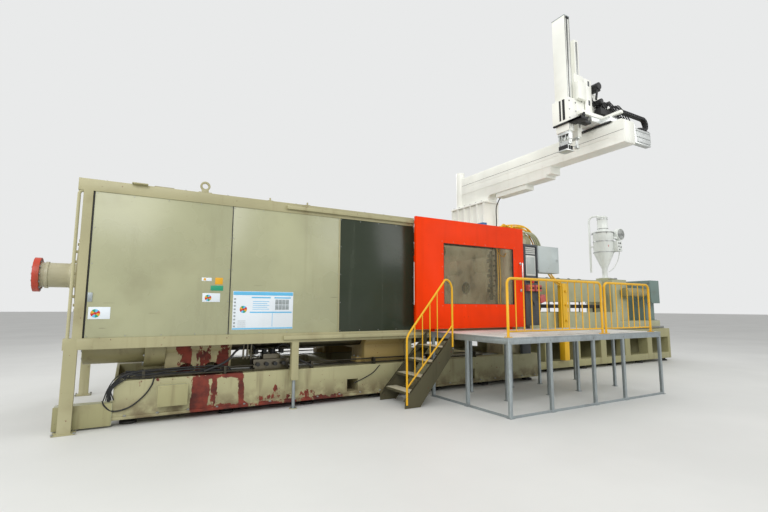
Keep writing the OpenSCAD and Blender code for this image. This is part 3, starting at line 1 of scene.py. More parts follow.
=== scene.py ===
"""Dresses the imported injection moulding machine: finishes, fittings, camera and light.

All measures are metres in the record's frame: X runs along the machine from the mould face, Y is
negative on the operator's side and Z is up.
"""

from __future__ import annotations

import json
import logging
import math
from dataclasses import dataclass, field
from enum import Enum
from typing import Iterable, Sequence

import bmesh
import bpy
from bmesh.types import BMEdge, BMesh, BMVert
from bpy.types import NodeSocket as Socket
from mathutils import Matrix, Vector


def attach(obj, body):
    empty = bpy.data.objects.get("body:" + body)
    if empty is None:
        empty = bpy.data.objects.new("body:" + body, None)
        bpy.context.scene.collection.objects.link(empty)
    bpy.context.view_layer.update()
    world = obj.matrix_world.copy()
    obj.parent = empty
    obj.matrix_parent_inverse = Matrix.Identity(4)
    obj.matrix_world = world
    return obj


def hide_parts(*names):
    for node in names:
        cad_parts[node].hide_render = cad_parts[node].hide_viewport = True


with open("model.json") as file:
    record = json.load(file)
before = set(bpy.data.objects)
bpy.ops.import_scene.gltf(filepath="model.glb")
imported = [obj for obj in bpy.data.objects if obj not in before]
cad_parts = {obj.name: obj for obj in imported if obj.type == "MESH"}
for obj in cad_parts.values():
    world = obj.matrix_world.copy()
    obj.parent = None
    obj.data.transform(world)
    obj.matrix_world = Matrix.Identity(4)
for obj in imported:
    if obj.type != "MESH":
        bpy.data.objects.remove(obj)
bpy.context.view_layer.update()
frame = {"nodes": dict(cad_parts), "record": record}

LOG = logging.getLogger("machine")
BODIES = {node: body for body, nodes in frame["record"]["behaviour"]["bodies"].items() for node in nodes}

Point = tuple[float, float, float]

# Points of a solid closer than this, in metres, are one
MERGE_DISTANCE = 2e-5
# Faces that meet within this many degrees are one
FLAT_DEGREES = 1.0
# Edges past this many degrees are softened
EDGE_DEGREES = 32.0
# Edges past this many degrees look sharp
SHARP_DEGREES = 35.0
# Steps across a softened edge
BEVEL_STEPS = 2
# The most of a part's thinnest side that a softened edge takes
SOFT_SHARE = 0.3
# How far a cover's screw head stands out, in metres
HEAD_HEIGHT = 0.004
# Colours inside the finishes
DARK_RUST = "4a1c14"
SCUFF = "5c5a45"
WORN_TREAD = "d9dad4"
TREAD_DIRT = "5d564a"
TREAD_MARK = "e4e4de"
PANE_DUST = "a59e7e"


class Axis(Enum):
    """A row axis, with the turn that brings +Z onto it."""

    X = "X"
    Y = "Y"
    Z = "Z"

    def turn(self) -> Matrix:
        """Returns the rotation from +Z to this axis."""
        if self is Axis.X:
            return Matrix.Rotation(math.pi / 2, 4, "Y")
        if self is Axis.Y:
            return Matrix.Rotation(-math.pi / 2, 4, "X")
        return Matrix.Identity(4)


def linear(code: str) -> tuple[float, float, float, float]:
    """Turns a colour code into Blender's linear colour.

    Args:
        code: six hexadecimal digits.

    Returns:
        Red, green, blue and an alpha of one.
    """
    parts = (int(code[i : i + 2], 16) / 255 for i in (0, 2, 4))
    return (*[((c + 0.055) / 1.055) ** 2.4 if c > 0.04045 else c / 12.92 for c in parts], 1.0)


class Graph:
    """A short way to write the nodes of one material."""

    def __init__(self, name: str) -> None:
        """Starts a material with one shader."""
        self.material = bpy.data.materials.new(name)
        self.material.use_nodes = True
        self.tree = self.material.node_tree
        self.tree.nodes.clear()
        self.shader = self.tree.nodes.new("ShaderNodeBsdfPrincipled")
        out = self.tree.nodes.new("ShaderNodeOutputMaterial")
        self.tree.links.new(self.shader.outputs["BSDF"], out.inputs["Surface"])
        self.place = self.tree.nodes.new("ShaderNodeTexCoord").outputs["Object"]

    def put(self, kind: str, inputs: dict[int | str, object], **settings: object) -> bpy.types.Node:
        """Adds a node.

        Args:
            kind: the node's type name after "ShaderNode".
            inputs: sockets or values by input name or number.
            settings: the node's own properties.

        Returns:
            The new node.
        """
        node = self.tree.nodes.new("ShaderNode" + kind)
        for name, value in settings.items():
            setattr(node, name, value)
        for name, value in inputs.items():
            if isinstance(value, Socket):
                self.tree.links.new(value, node.inputs[name])
            else:
                node.inputs[name].default_value = value
        return node

    def noise(
        self, scale: float, detail: float = 3.0, stretch: Point = (1, 1, 1), rough: float = 0.55
    ) -> Socket:
        """Returns a noise value on stretched Object coordinates."""
        placed = self.put("Mapping", {"Vector": self.place, "Scale": stretch}).outputs["Vector"]
        made = self.put("TexNoise", {"Vector": placed, "Scale": scale, "Detail": detail, "Roughness": rough})
        return made.outputs["Fac"]

    def span(
        self, value: Socket, low: float, high: float, to_low: float = 0.0, to_high: float = 1.0
    ) -> Socket:
        """Returns a value mapped smoothly from one range to another."""
        made = self.put(
            "MapRange", {0: value, 1: low, 2: high, 3: to_low, 4: to_high}, interpolation_type="SMOOTHSTEP"
        )
        return made.outputs[0]

    def calc(self, operation: str, first: object, second: object) -> Socket:
        """Returns the outcome of an operation on two values."""
        return self.put("Math", {0: first, 1: second}, operation=operation).outputs[0]

    def times(self, first: object, second: object) -> Socket:
        """Returns the product of two values."""
        return self.calc("MULTIPLY", first, second)

    def plus(self, first: object, second: object) -> Socket:
        """Returns the sum of two values."""
        return self.calc("ADD", first, second)

    def most(self, first: object, second: object) -> Socket:
        """Returns the larger of two values."""
        return self.calc("MAXIMUM", first, second)

    def mix(self, share: object, first: object, second: object) -> Socket:
        """Returns a mix of two colours."""
        return self.put("Mix", {0: share, 6: first, 7: second}, data_type="RGBA").outputs[2]

    def bump(self, height: Socket, strength: float, distance: float) -> Socket:
        """Returns a normal shaped by a height."""
        return self.put(
            "Bump", {"Height": height, "Strength": strength, "Distance": distance}
        ).outputs["Normal"]

    def axis(self, name: str) -> Socket:
        """Returns one Object coordinate."""
        return self.put("SeparateXYZ", {0: self.place}).outputs[name]

    def feed(self, name: str, value: object) -> None:
        """Sets or links an input of the shader."""
        if isinstance(value, Socket):
            self.tree.links.new(value, self.shader.inputs[name])
        else:
            self.shader.inputs[name].default_value = value


@dataclass(frozen=True)
class Finish:
    """A surface with a name of its own, whose material is made once."""

    name: str
    colour: str

    def material(self) -> bpy.types.Material:
        """Returns the finish's material."""
        known = bpy.data.materials.get(self.name)
        if known:
            return known
        graph = Graph(self.name)
        self.draw(graph)
        return graph.material

    def draw(self, graph: Graph) -> None:
        """Sets the material's nodes."""
        raise NotImplementedError


@dataclass(frozen=True)
class Patch:
    """A place along the machine where the paint has come off."""

    left: float
    right: float
    low: float
    high: float
    amount: float


@dataclass(frozen=True)
class Paint(Finish):
    """A painted or moulded surface with soil, chips and bare patches."""

    rough: float = 0.38
    soil: str = "5f4d33"
    soiling: float = 0.25
    under: str = "7a2f1f"
    chips: float = 0.1
    wave: float = 0.0
    grain: float = 0.15
    patches: tuple[Patch, ...] = ()
    low_soil: float = 0.0
    gloss: float = 0.5
    scuffs: float = 0.0

    def draw(self, graph: Graph) -> None:
        """Sets the material's nodes."""
        tone = graph.span(graph.noise(0.9, 3), 0.3, 0.72)
        base = linear(self.colour)
        shade = tuple(c * 0.86 for c in base[:3]) + (1.0,)
        colour = graph.mix(tone, shade, base)
        streaks = graph.span(graph.noise(2.2, 5, (3.2, 3.2, 0.22)), 0.53, 0.78)
        clouds = graph.span(graph.noise(1.7, 6), 0.55, 0.8)
        soil = graph.times(graph.most(streaks, clouds), self.soiling)
        if self.low_soil:
            foot = graph.span(graph.axis("Z"), self.low_soil + 0.35, self.low_soil, 0.0, 0.75)
            soil = graph.most(soil, graph.times(foot, graph.span(graph.noise(5, 5), 0.3, 0.6)))
        colour = graph.mix(soil, colour, linear(self.soil))
        bare = graph.times(graph.span(graph.noise(21, 6), 0.69, 0.71), min(1.0, self.chips * 4))
        for patch in self.patches:
            bare = graph.most(bare, self.bare_patch(graph, patch))
        colour = graph.mix(
            bare, colour,
            graph.mix(graph.span(graph.noise(7, 4), 0.3, 0.7), linear(self.under), linear(DARK_RUST)),
        )
        if self.scuffs:
            marks = graph.span(graph.noise(3.4, 2, (0.5, 0.5, 9.0)), 0.735, 0.76)
            colour = graph.mix(graph.times(marks, self.scuffs), colour, linear(SCUFF))
        graph.feed("Base Color", colour)
        graph.feed("Specular IOR Level", self.gloss)
        dull = graph.plus(graph.times(tone, 0.08), self.rough)
        dull = graph.plus(dull, graph.times(graph.most(soil, bare), 0.3))
        graph.feed("Roughness", dull)
        peel = graph.times(graph.noise(150, 2), self.grain)
        sway = graph.times(graph.noise(1.1, 1), self.wave * 60)
        height = graph.calc("SUBTRACT", graph.plus(peel, sway), graph.times(bare, 0.4))
        graph.feed("Normal", graph.bump(height, 0.6, 0.0012))

    @staticmethod
    def bare_patch(graph: Graph, patch: Patch) -> Socket:
        """Returns the mask of one bare patch, ragged at its rim."""
        x = graph.axis("X")
        z = graph.axis("Z")
        fade = 0.07
        ragged = graph.noise(5.2, 8, (1.0, 1.0, 0.42), 0.7)
        inside = graph.span(x, patch.left - fade, patch.left + fade)
        inside = graph.times(inside, graph.span(x, patch.right + fade, patch.right - fade))
        inside = graph.times(inside, graph.span(z, patch.low - 0.08, patch.low + 0.04))
        inside = graph.times(inside, graph.span(z, patch.high + 0.10, patch.high - 0.06))
        level = graph.plus(ragged, graph.times(inside, patch.amount))
        return graph.span(level, 0.86, 0.88)


@dataclass(frozen=True)
class Metal(Finish):
    """Bare or plated metal with grain and oil."""

    rough: float = 0.3
    grain: Point = (30, 30, 2)
    soil: str = "2c2720"
    soiling: float = 0.2
    metallic: float = 1.0

    def draw(self, graph: Graph) -> None:
        """Sets the material's nodes."""
        lines = graph.noise(6, 4, self.grain)
        clouds = graph.span(graph.noise(2.3, 6), 0.48, 0.75)
        base = linear(self.colour)
        bright = tuple(min(1.0, c * 1.18) for c in base[:3]) + (1.0,)
        colour = graph.mix(graph.span(lines, 0.3, 0.7), base, bright)
        soil = graph.times(clouds, self.soiling)
        graph.feed("Base Color", graph.mix(soil, colour, linear(self.soil)))
        graph.feed("Metallic", self.metallic)
        dull = graph.plus(graph.times(lines, 0.14), self.rough - 0.05)
        graph.feed("Roughness", graph.plus(dull, graph.times(soil, 0.3)))
        graph.feed("Normal", graph.bump(lines, 0.12, 0.0005))


@dataclass(frozen=True)
class Checker(Finish):
    """A deck plate with raised tread marks, scuffed pale by feet."""

    pitch: float = 0.03

    def draw(self, graph: Graph) -> None:
        """Sets the material's nodes."""
        turn = 2 * math.pi / self.pitch
        across = graph.calc("SINE", graph.times(graph.plus(graph.axis("X"), graph.axis("Y")), turn * 0.7), 0)
        along = graph.calc(
            "SINE", graph.times(graph.calc("SUBTRACT", graph.axis("X"), graph.axis("Y")), turn * 0.7), 0
        )
        mark = graph.span(graph.times(across, along), 0.35, 0.75)
        worn = graph.span(graph.noise(1.6, 6), 0.4, 0.66)
        colour = graph.mix(worn, linear(self.colour), linear(WORN_TREAD))
        dirt = graph.times(graph.span(graph.noise(4.5, 6), 0.52, 0.72), 0.5)
        colour = graph.mix(dirt, colour, linear(TREAD_DIRT))
        graph.feed("Base Color", graph.mix(graph.times(mark, 0.4), colour, linear(TREAD_MARK)))
        graph.feed("Metallic", 0.35)
        graph.feed("Roughness", graph.plus(graph.times(dirt, 0.3), 0.58))
        graph.feed("Normal", graph.bump(mark, 0.7, 0.0015))


@dataclass(frozen=True)
class Pane(Finish):
    """A dusty window pane."""

    clear: float = 0.35
    dusty: float = 0.3

    def draw(self, graph: Graph) -> None:
        """Sets the material's nodes."""
        dust = graph.span(graph.noise(1.4, 6, (1, 1, 0.6)), 0.35, 0.75)
        graph.feed("Base Color", graph.mix(dust, linear(self.colour), linear(PANE_DUST)))
        graph.feed("Alpha", graph.plus(graph.times(dust, self.dusty), self.clear))
        graph.feed("Roughness", graph.plus(graph.times(dust, 0.18), 0.06))
        graph.feed("Normal", graph.bump(graph.noise(3, 2), 0.1, 0.004))


BED = Paint(
    "bed_paint", "a9a57e", 0.42, soiling=0.5, chips=0.2, low_soil=0.12,
    patches=(
        Patch(-6.40, -6.10, 0.05, 0.62, 0.47),
        Patch(-6.12, -5.98, 0.05, 0.62, 0.42),
        Patch(-5.72, -5.60, 0.08, 0.62, 0.46),
        Patch(-6.25, -5.65, 0.54, 0.63, 0.47),
        Patch(-6.25, -5.40, 0.05, 0.17, 0.49),
        Patch(-5.50, -3.90, 0.05, 0.16, 0.46),
        Patch(-5.18, -4.98, 0.12, 0.40, 0.36),
        Patch(-4.86, -4.62, 0.12, 0.34, 0.37),
        Patch(-5.60, -4.40, 0.14, 0.26, 0.38),
        Patch(-4.10, -3.20, 0.05, 0.12, 0.34),
        Patch(-7.10, -6.95, 0.40, 0.62, 0.30),
        Patch(-6.90, -6.40, 0.56, 0.62, 0.34),
    ),
)
BEIGE = Paint("panel_beige", "aaab89", 0.25, soiling=0.15, chips=0.04, wave=0.03, gloss=0.5, scuffs=0.55)
BOX_BEIGE = Paint("box_beige", "a29e75", 0.4, soiling=0.42, chips=0.14, gloss=0.4)
# The stair's paint is darkened well below the frame's: painted shade for the stair standing in shadow, with
# real dirt on top.
STAIR_AND_SHADE = Paint("stair_paint_and_shade", "55513b", 0.5, soil="2f2b20", soiling=0.6, chips=0.25, gloss=0.3)
TREAD = Paint("tread_dust", "c9c3ab", 0.65, soil="6f6752", soiling=0.6, chips=0.1, gloss=0.2, under="4a4638")
FRAME = Paint("frame_beige", "aaa57f", 0.4, soiling=0.36, chips=0.2, soil="6a5734")
GREY = Paint(
    "door_grey", "30382a", 0.2, soil="4d5446", soiling=0.3, gloss=0.35, chips=0.02, under="555a52", wave=0.03
)
ORANGE = Paint(
    "door_orange", "f03b00", 0.34, gloss=0.12, soil="8d2a10", soiling=0.13, chips=0.1, under="3a2a22",
    wave=0.012,
)
YELLOW = Paint("rail_yellow", "e4ae0c", 0.34, soil="8a6a17", soiling=0.22, chips=0.22, under="6d6a5c")
WHITE = Paint(
    "robot_white", "f7f8ef", 0.3, soil="bdb69c", soiling=0.14, chips=0.05, under="8d8a80", wave=0.006
)
DRYER = Paint("dryer_white", "e9ede8", 0.22, soil="a8a898", soiling=0.18, chips=0.03, under="8d8a80")
REAR = Paint(
    "rear_platen_paint", "a49b74", 0.5, soiling=0.55, chips=0.3,
    patches=(
        Patch(-6.62, -6.34, 0.60, 1.30, 0.41),
        Patch(-6.73, -6.60, 0.60, 1.05, 0.36),
        Patch(-6.34, -6.06, 0.60, 1.30, 0.41),
        Patch(-6.06, -5.80, 0.60, 1.15, 0.40),
    ),
)
MOVING = Paint("moving_platen_paint", "a8925a", 0.45, soil="4b3a22", soiling=0.8, chips=0.25)
HYDRAULIC = Paint("hydraulic_paint", "958e67", 0.38, soiling=0.45, chips=0.12)
PALE = Paint("booster_pale", "c3bea0", 0.38, soil="8b8258", soiling=0.35, chips=0.1)
DARK = Paint("column_dark", "43474a", 0.4, soil="2a2a28", soiling=0.3, under="8a8a84")
CABINET = Paint("cabinet_pale", "b9c3c2", 0.35, soil="8c8a78", soiling=0.2)
PINK = Paint("box_pink", "c05a54", 0.5, soil="6e3c38", soiling=0.25, under="d8b0a8")
RED = Paint("signal_red", "c8271c", 0.3, soiling=0.1)
FLANGE_RED = Paint("flange_red", "c9452d", 0.4, soiling=0.3)
TANK = Paint("tank_green", "71857f", 0.42, soiling=0.45, chips=0.15)
BLACK = Paint("black_rubber", "1d1e1f", 0.55, soil="3f3b33", soiling=0.3, chips=0.0, grain=0.5)
HOSE = Paint("hose_yellow", "ecb81c", 0.42, soil="6d5415", soiling=0.35, chips=0.0, grain=0.3)
SCREEN = Paint("screen_face", "aeb6b2", 0.2, soiling=0.06, chips=0.0, grain=0.0)
KEY = Paint("key_pale", "d2d5cf", 0.4, soiling=0.2, chips=0.0)
PAPER = Paint("paper_white", "e4ecf2", 0.5, soil="b8c2c6", soiling=0.15, chips=0.0)
SKY = Paint("paper_blue", "62bbe6", 0.5, soil="4b93b5", soiling=0.12, chips=0.0)
GREEN = Paint("tag_green", "1c9a72", 0.45, soiling=0.1, chips=0.0)
AMBER = Paint("tag_amber", "e3a81a", 0.45, soiling=0.1, chips=0.0)
BLUE = Paint("box_blue", "2f6fa8", 0.45, soiling=0.2, chips=0.03)
IRON = Metal("machined_iron", "b3ac8e", 0.4, (5, 4, 22), soil="2f2a1e", soiling=0.7, metallic=0.4)
# Dark oily iron for the disc on the bore's floor: painted shade in the recess, darker than the platen's own
# machined iron.
BORE_SHADE_IRON = Metal("bore_shade_iron", "5b574a", 0.34, (30, 6, 6), soil="201c15", soiling=0.7, metallic=0.7)
FIXTURE = Paint("fixture_dark", "35332c", 0.5, soil="1d1b16", soiling=0.5, chips=0.45, under="c9c6b8")
STEEL = Metal("polished_steel", "a4a6a4", 0.3, (2, 30, 30), soiling=0.35)
OILY = Metal("oiled_steel", "6f6a5d", 0.28, (2, 25, 25), soiling=0.6)
CHROME = Metal("chromed_rod", "d4d6d6", 0.1, (2, 40, 40), soiling=0.1)
ZINC = Metal("zinc_post", "9aa2a4", 0.45, (9, 9, 3), soil="5e6060", soiling=0.35, metallic=0.75)
ALU = Metal("brushed_aluminium", "cfd2d0", 0.34, (14, 14, 2), soil="75736c", soiling=0.25, metallic=0.85)
FOOT = Metal("cast_foot", "3b3b39", 0.6, (5, 5, 5), soiling=0.5, metallic=0.6)
GREASE = Metal("greasy_pipe", "4d4a40", 0.4, (2, 25, 25), soiling=0.7)
DECK = Checker("checker_plate", "c3c2ba")
PANE = Pane("dusty_pane", "7f7a61", 0.13, 0.3)


def linked(name: str, data: bpy.types.ID) -> bpy.types.Object:
    """Makes an object of the data and links it to the scene."""
    made = bpy.data.objects.new(name, data)
    bpy.context.scene.collection.objects.link(made)
    return made


class Shape:
    """A mesh under construction, joined from parts made by bmesh operators."""

    def __init__(self) -> None:
        """Starts empty."""
        self.mesh = bmesh.new()

    def take(self, part: BMesh) -> Shape:
        """Adds a finished part and returns the shape."""
        held = bpy.data.meshes.new("part")
        part.to_mesh(held)
        part.free()
        self.mesh.from_mesh(held)
        bpy.data.meshes.remove(held)
        return self

    def box(self, low: Point, high: Point, soft: float = 0.002) -> Shape:
        """Adds a block with softened edges.

        Args:
            low: its lowest corner.
            high: its highest corner.
            soft: the width of the softened edges.

        Returns:
            The shape.
        """
        part = bmesh.new()
        a, b = Vector(low), Vector(high)
        size = b - a
        place = Matrix.Translation((a + b) / 2) @ Matrix.Diagonal((*size, 1.0))
        bmesh.ops.create_cube(part, size=1.0, matrix=place)
        soft = min(soft, min(abs(c) for c in size) * SOFT_SHARE)
        if soft > 0:
            self.soften(part, part.edges[:], soft)
        return self.take(part)

    @staticmethod
    def soften(part: BMesh, edges: Iterable[BMEdge], width: float) -> None:
        """Rounds the given edges of a part."""
        bmesh.ops.bevel(
            part, geom=list(edges), offset=width, offset_type="OFFSET", segments=BEVEL_STEPS,
            profile=0.5, affect="EDGES", clamp_overlap=True, material=-1,
        )

    def rod(
        self, start: Point, end: Point, radius: float, far_radius: float | None = None, sides: int = 20,
        soft: float = 0.0015,
    ) -> Shape:
        """Adds a round bar or cone between two points, its rims softened.

        Args:
            start: the centre of its first end.
            end: the centre of its far end.
            radius: its radius at the start.
            far_radius: its radius at the end, if that differs.
            sides: how many sides it has.
            soft: the width of its softened rims.

        Returns:
            The shape.
        """
        part = bmesh.new()
        a, b = Vector(start), Vector(end)
        line = b - a
        place = Matrix.Translation((a + b) / 2) @ line.to_track_quat("Z", "Y").to_matrix().to_4x4()
        second = radius if far_radius is None else far_radius
        bmesh.ops.create_cone(
            part, cap_ends=True, segments=sides, radius1=radius, radius2=second, depth=line.length,
            matrix=place,
        )
        soft = min(soft, radius * SOFT_SHARE, second * SOFT_SHARE, line.length * SOFT_SHARE)
        if soft > 0:
            rims = [e for e in part.edges if any(len(f.verts) == sides for f in e.link_faces)]
            self.soften(part, rims, soft)
        return self.take(part)

    def hexes(self, spots: Iterable[Point], axis: Axis, radius: float, height: float, sign: int = 1) -> Shape:
        """Adds hexagon bolt heads with washers.

        Args:
            spots: the points where the heads seat.
            axis: the axis that they point along.
            radius: their radius over the corners.
            height: their height.
            sign: 1 or -1 for the direction.

        Returns:
            The shape.
        """
        step = axis.turn().to_3x3() @ Vector((0, 0, sign))
        for spot in spots:
            seat = Vector(spot)
            self.rod(seat, seat + step * height * 0.25, radius * 1.35, sides=16, soft=0)
            self.rod(seat + step * height * 0.24, seat + step * height, radius, sides=6, soft=radius * 0.08)
        return self

    def flange(
        self, centre: Point, ring: float, count: int, radius: float, height: float, sign: int = 1,
        start: float = 0.0,
    ) -> Shape:
        """Adds a circle of bolt heads that point along X.

        Args:
            centre: the circle's centre.
            ring: the circle's radius.
            count: how many heads stand on it.
            radius: their radius over the corners.
            height: their height.
            sign: 1 or -1 for the direction.
            start: the angle of the first.

        Returns:
            The shape.
        """
        turn = Axis.X.turn().to_3x3()
        spots = []
        for i in range(count):
            a = start + 2 * math.pi * i / count
            turned = turn @ Vector((ring * math.cos(a), ring * math.sin(a), 0))
            spots.append(tuple(c + t for c, t in zip(centre, turned)))
        return self.hexes(spots, Axis.X, radius, height, sign)

    def fins(
        self, left: float, right: float, centre: tuple[float, float], ring: float, count: int, radius: float
    ) -> Shape:
        """Adds a motor's cooling fins: bars along X, round a centre in Y and Z."""
        for i in range(count):
            a = 2 * math.pi * i / count
            y, z = centre[0] + ring * math.cos(a), centre[1] + ring * math.sin(a)
            self.rod((left, y, z), (right, y, z), radius, sides=6, soft=0)
        return self

    def screw(self, x: float, face: float, z: float, radius: float) -> Shape:
        """Adds a flat screw head on a cover's face."""
        return self.rod((x, face, z), (x, face - HEAD_HEIGHT, z), radius, radius - 0.002, 12, 0)

    def spun(
        self, profile: Sequence[tuple[float, float]], centre: Point, axis: Axis, steps: int = 40
    ) -> Shape:
        """Adds a turned part.

        Args:
            profile: pairs of a radius and a place along the axis, end to end.
            centre: where the axis starts.
            axis: the axis of the turning.
            steps: how many steps go round.

        Returns:
            The shape.
        """
        part = bmesh.new()
        verts = [part.verts.new((r, 0, h)) for r, h in profile]
        edges = [part.edges.new(pair) for pair in zip(verts, verts[1:])]
        bmesh.ops.spin(
            part, geom=verts + edges, cent=(0, 0, 0), axis=(0, 0, 1), angle=2 * math.pi, steps=steps,
            use_merge=True,
        )
        bmesh.ops.remove_doubles(part, verts=part.verts[:], dist=1e-5)
        bmesh.ops.recalc_face_normals(part, faces=part.faces[:])
        bmesh.ops.transform(part, matrix=Matrix.Translation(centre) @ axis.turn(), verts=part.verts[:])
        return self.take(part)

    def ring(
        self, radii: tuple[float, float], span: tuple[float, float], centre: Point, axis: Axis,
        steps: int = 40, lined: bool = False,
    ) -> Shape:
        """Adds a ring of square section.

        Args:
            radii: its inner and outer radius.
            span: where it starts and ends along the axis.
            centre: where the axis starts.
            axis: the axis of the ring.
            steps: how many steps go round.
            lined: whether it has an inner wall of its own.

        Returns:
            The shape.
        """
        (inner, outer), (low, high) = radii, span
        profile = [(inner, low), (outer, low), (outer, high), (inner, high)]
        if lined:
            profile.append(profile[0])
        return self.spun(profile, centre, axis, steps)

    def swept(self, path: Sequence[Point], radius: float, sides: int = 12, smooth: int = 6) -> Shape:
        """Adds a bent tube along a path, with closed ends.

        Args:
            path: the points that its middle passes.
            radius: its radius.
            sides: how many sides it has.
            smooth: how many steps lie between two points of the path.

        Returns:
            The shape.
        """
        line = Route(path, smooth).points
        part = bmesh.new()
        heads = [line[min(i + 1, len(line) - 1)] - line[max(i - 1, 0)] for i in range(len(line))]
        turn = heads[0].to_track_quat("Z", "Y")
        place = Matrix.Translation(line[0]) @ turn.to_matrix().to_4x4()
        bmesh.ops.create_circle(part, cap_ends=False, segments=sides, radius=radius, matrix=place)
        first = part.edges[:]
        last = first
        for i in range(1, len(line)):
            bend = heads[i - 1].rotation_difference(heads[i])
            grown = bmesh.ops.extrude_edge_only(part, edges=last)["geom"]
            verts = [g for g in grown if isinstance(g, BMVert)]
            last = [g for g in grown if isinstance(g, BMEdge) and all(v in verts for v in g.verts)]
            move = Matrix.Translation(line[i]) @ bend.to_matrix().to_4x4() @ Matrix.Translation(-line[i - 1])
            bmesh.ops.transform(part, matrix=move, verts=verts)
        bmesh.ops.contextual_create(part, geom=first)
        bmesh.ops.contextual_create(part, geom=last)
        bmesh.ops.recalc_face_normals(part, faces=part.faces[:])
        return self.take(part)

    def cut(self, point: Point, normal: Point) -> Shape:
        """Takes off what lies past a plane and closes the cut."""
        geom = self.mesh.verts[:] + self.mesh.edges[:] + self.mesh.faces[:]
        found = bmesh.ops.bisect_plane(
            self.mesh, geom=geom, dist=1e-5, plane_co=point, plane_no=normal, clear_outer=True
        )
        rim = [g for g in found["geom_cut"] if isinstance(g, BMEdge)]
        bmesh.ops.holes_fill(self.mesh, edges=rim, sides=0)
        return self

    def mirrored(self) -> Shape:
        """Adds the shape's own mirror image across the centre plane."""
        part = self.mesh.copy()
        bmesh.ops.scale(part, vec=(1, -1, 1), verts=part.verts[:])
        bmesh.ops.reverse_faces(part, faces=part.faces[:])
        return self.take(part)

    def piece(self, name: str, body: str, finish: Finish) -> bpy.types.Object:
        """Makes the shape an object of the scene.

        Args:
            name: the piece's name.
            body: the body that it rides on.
            finish: what it is made of.

        Returns:
            The object.
        """
        mesh = bpy.data.meshes.new(name)
        self.mesh.to_mesh(mesh)
        self.mesh.free()
        mesh.materials.append(finish.material())
        mesh.shade_smooth()
        mesh.set_sharp_from_angle(angle=math.radians(SHARP_DEGREES))
        made = linked(name, mesh)
        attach(made, body)
        LOG.info("%s on %s, %d faces", name, body, len(mesh.polygons))
        return made


class Route:
    """A smooth line through given points."""

    def __init__(self, path: Sequence[Point], steps: int) -> None:
        """Works out the points of the line.

        Args:
            path: the points to pass.
            steps: how many steps lie between two of them.
        """
        knots = [Vector(p) for p in path]
        ends = [knots[0] * 2 - knots[1], *knots, knots[-1] * 2 - knots[-2]]
        self.points: list[Vector] = []
        for a, b, c, d in zip(ends, ends[1:], ends[2:], ends[3:]):
            for i in range(steps):
                t = i / steps
                lean, bend, twist = c - a, 2 * a - 5 * b + 4 * c - d, 3 * b - a - 3 * c + d
                self.points.append(0.5 * ((2 * b) + lean * t + bend * t * t + twist * t**3))
        self.points.append(knots[-1])

    def length(self) -> float:
        """Returns the line's length."""
        return sum((b - a).length for a, b in zip(self.points, self.points[1:]))


@dataclass
class Assembly:
    """A group of the machine's pieces that are dressed together."""

    made: list[str] = field(default_factory=list, init=False)

    def skin(
        self, node: str, finish: Finish, soft: float = 0.002, angle: float = EDGE_DEGREES
    ) -> bpy.types.Object:
        """Stands a merged copy with softened edges in for a solid.

        Args:
            node: the solid's name.
            finish: what it is made of.
            soft: the width of its softened edges, or nought.
            angle: the angle past which an edge is softened, in degrees.

        Returns:
            The piece.
        """
        shape = Shape()
        part = bmesh.new()
        part.from_mesh(frame["nodes"][node].data)
        bmesh.ops.remove_doubles(part, verts=part.verts[:], dist=MERGE_DISTANCE)
        bmesh.ops.dissolve_limit(
            part, angle_limit=math.radians(FLAT_DEGREES), verts=part.verts[:], edges=part.edges[:],
            delimit={"NORMAL"},
        )
        if soft > 0:
            limit = math.radians(angle)
            sharp = [e for e in part.edges if len(e.link_faces) == 2 and e.calc_face_angle(0.0) > limit]
            Shape.soften(part, sharp, soft)
        bmesh.ops.triangulate(part, faces=[f for f in part.faces if len(f.verts) > 4])
        shape.take(part)
        made = shape.piece("skin_" + node, BODIES[node], finish)
        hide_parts(node)
        self.made.append(made.name)
        return made

    def coat(self, node: str, finish: Finish) -> None:
        """Gives a solid that stays in view its finish."""
        held = frame["nodes"][node]
        for place in held.material_slots:
            place.material = finish.material()
        self.made.append(node)

    def add(self, shape: Shape, name: str, like: str, finish: Finish, body: str = "base") -> bpy.types.Object:
        """Makes a shape a piece of this group.

        Args:
            shape: its shape.
            name: its name.
            like: not used.
            finish: what it is made of.
            body: the body that it rides on.

        Returns:
            The piece.
        """
        made = shape.piece(name, body, finish)
        self.made.append(made.name)
        return made

    def skins(self, *rows: tuple[str, Finish, float]) -> None:
        """Stands skins in for several solids, each with its finish and soft edge."""
        for node, finish, soft in rows:
            self.skin(node, finish, soft)

    def build(self) -> None:
        """Makes and dresses the group's pieces."""
        raise NotImplementedError


def spaced(low: float, high: float, count: int) -> list[float]:
    """Returns evenly spaced values, both ends among them."""
    return [low + (high - low) * i / (count - 1) for i in range(count)]


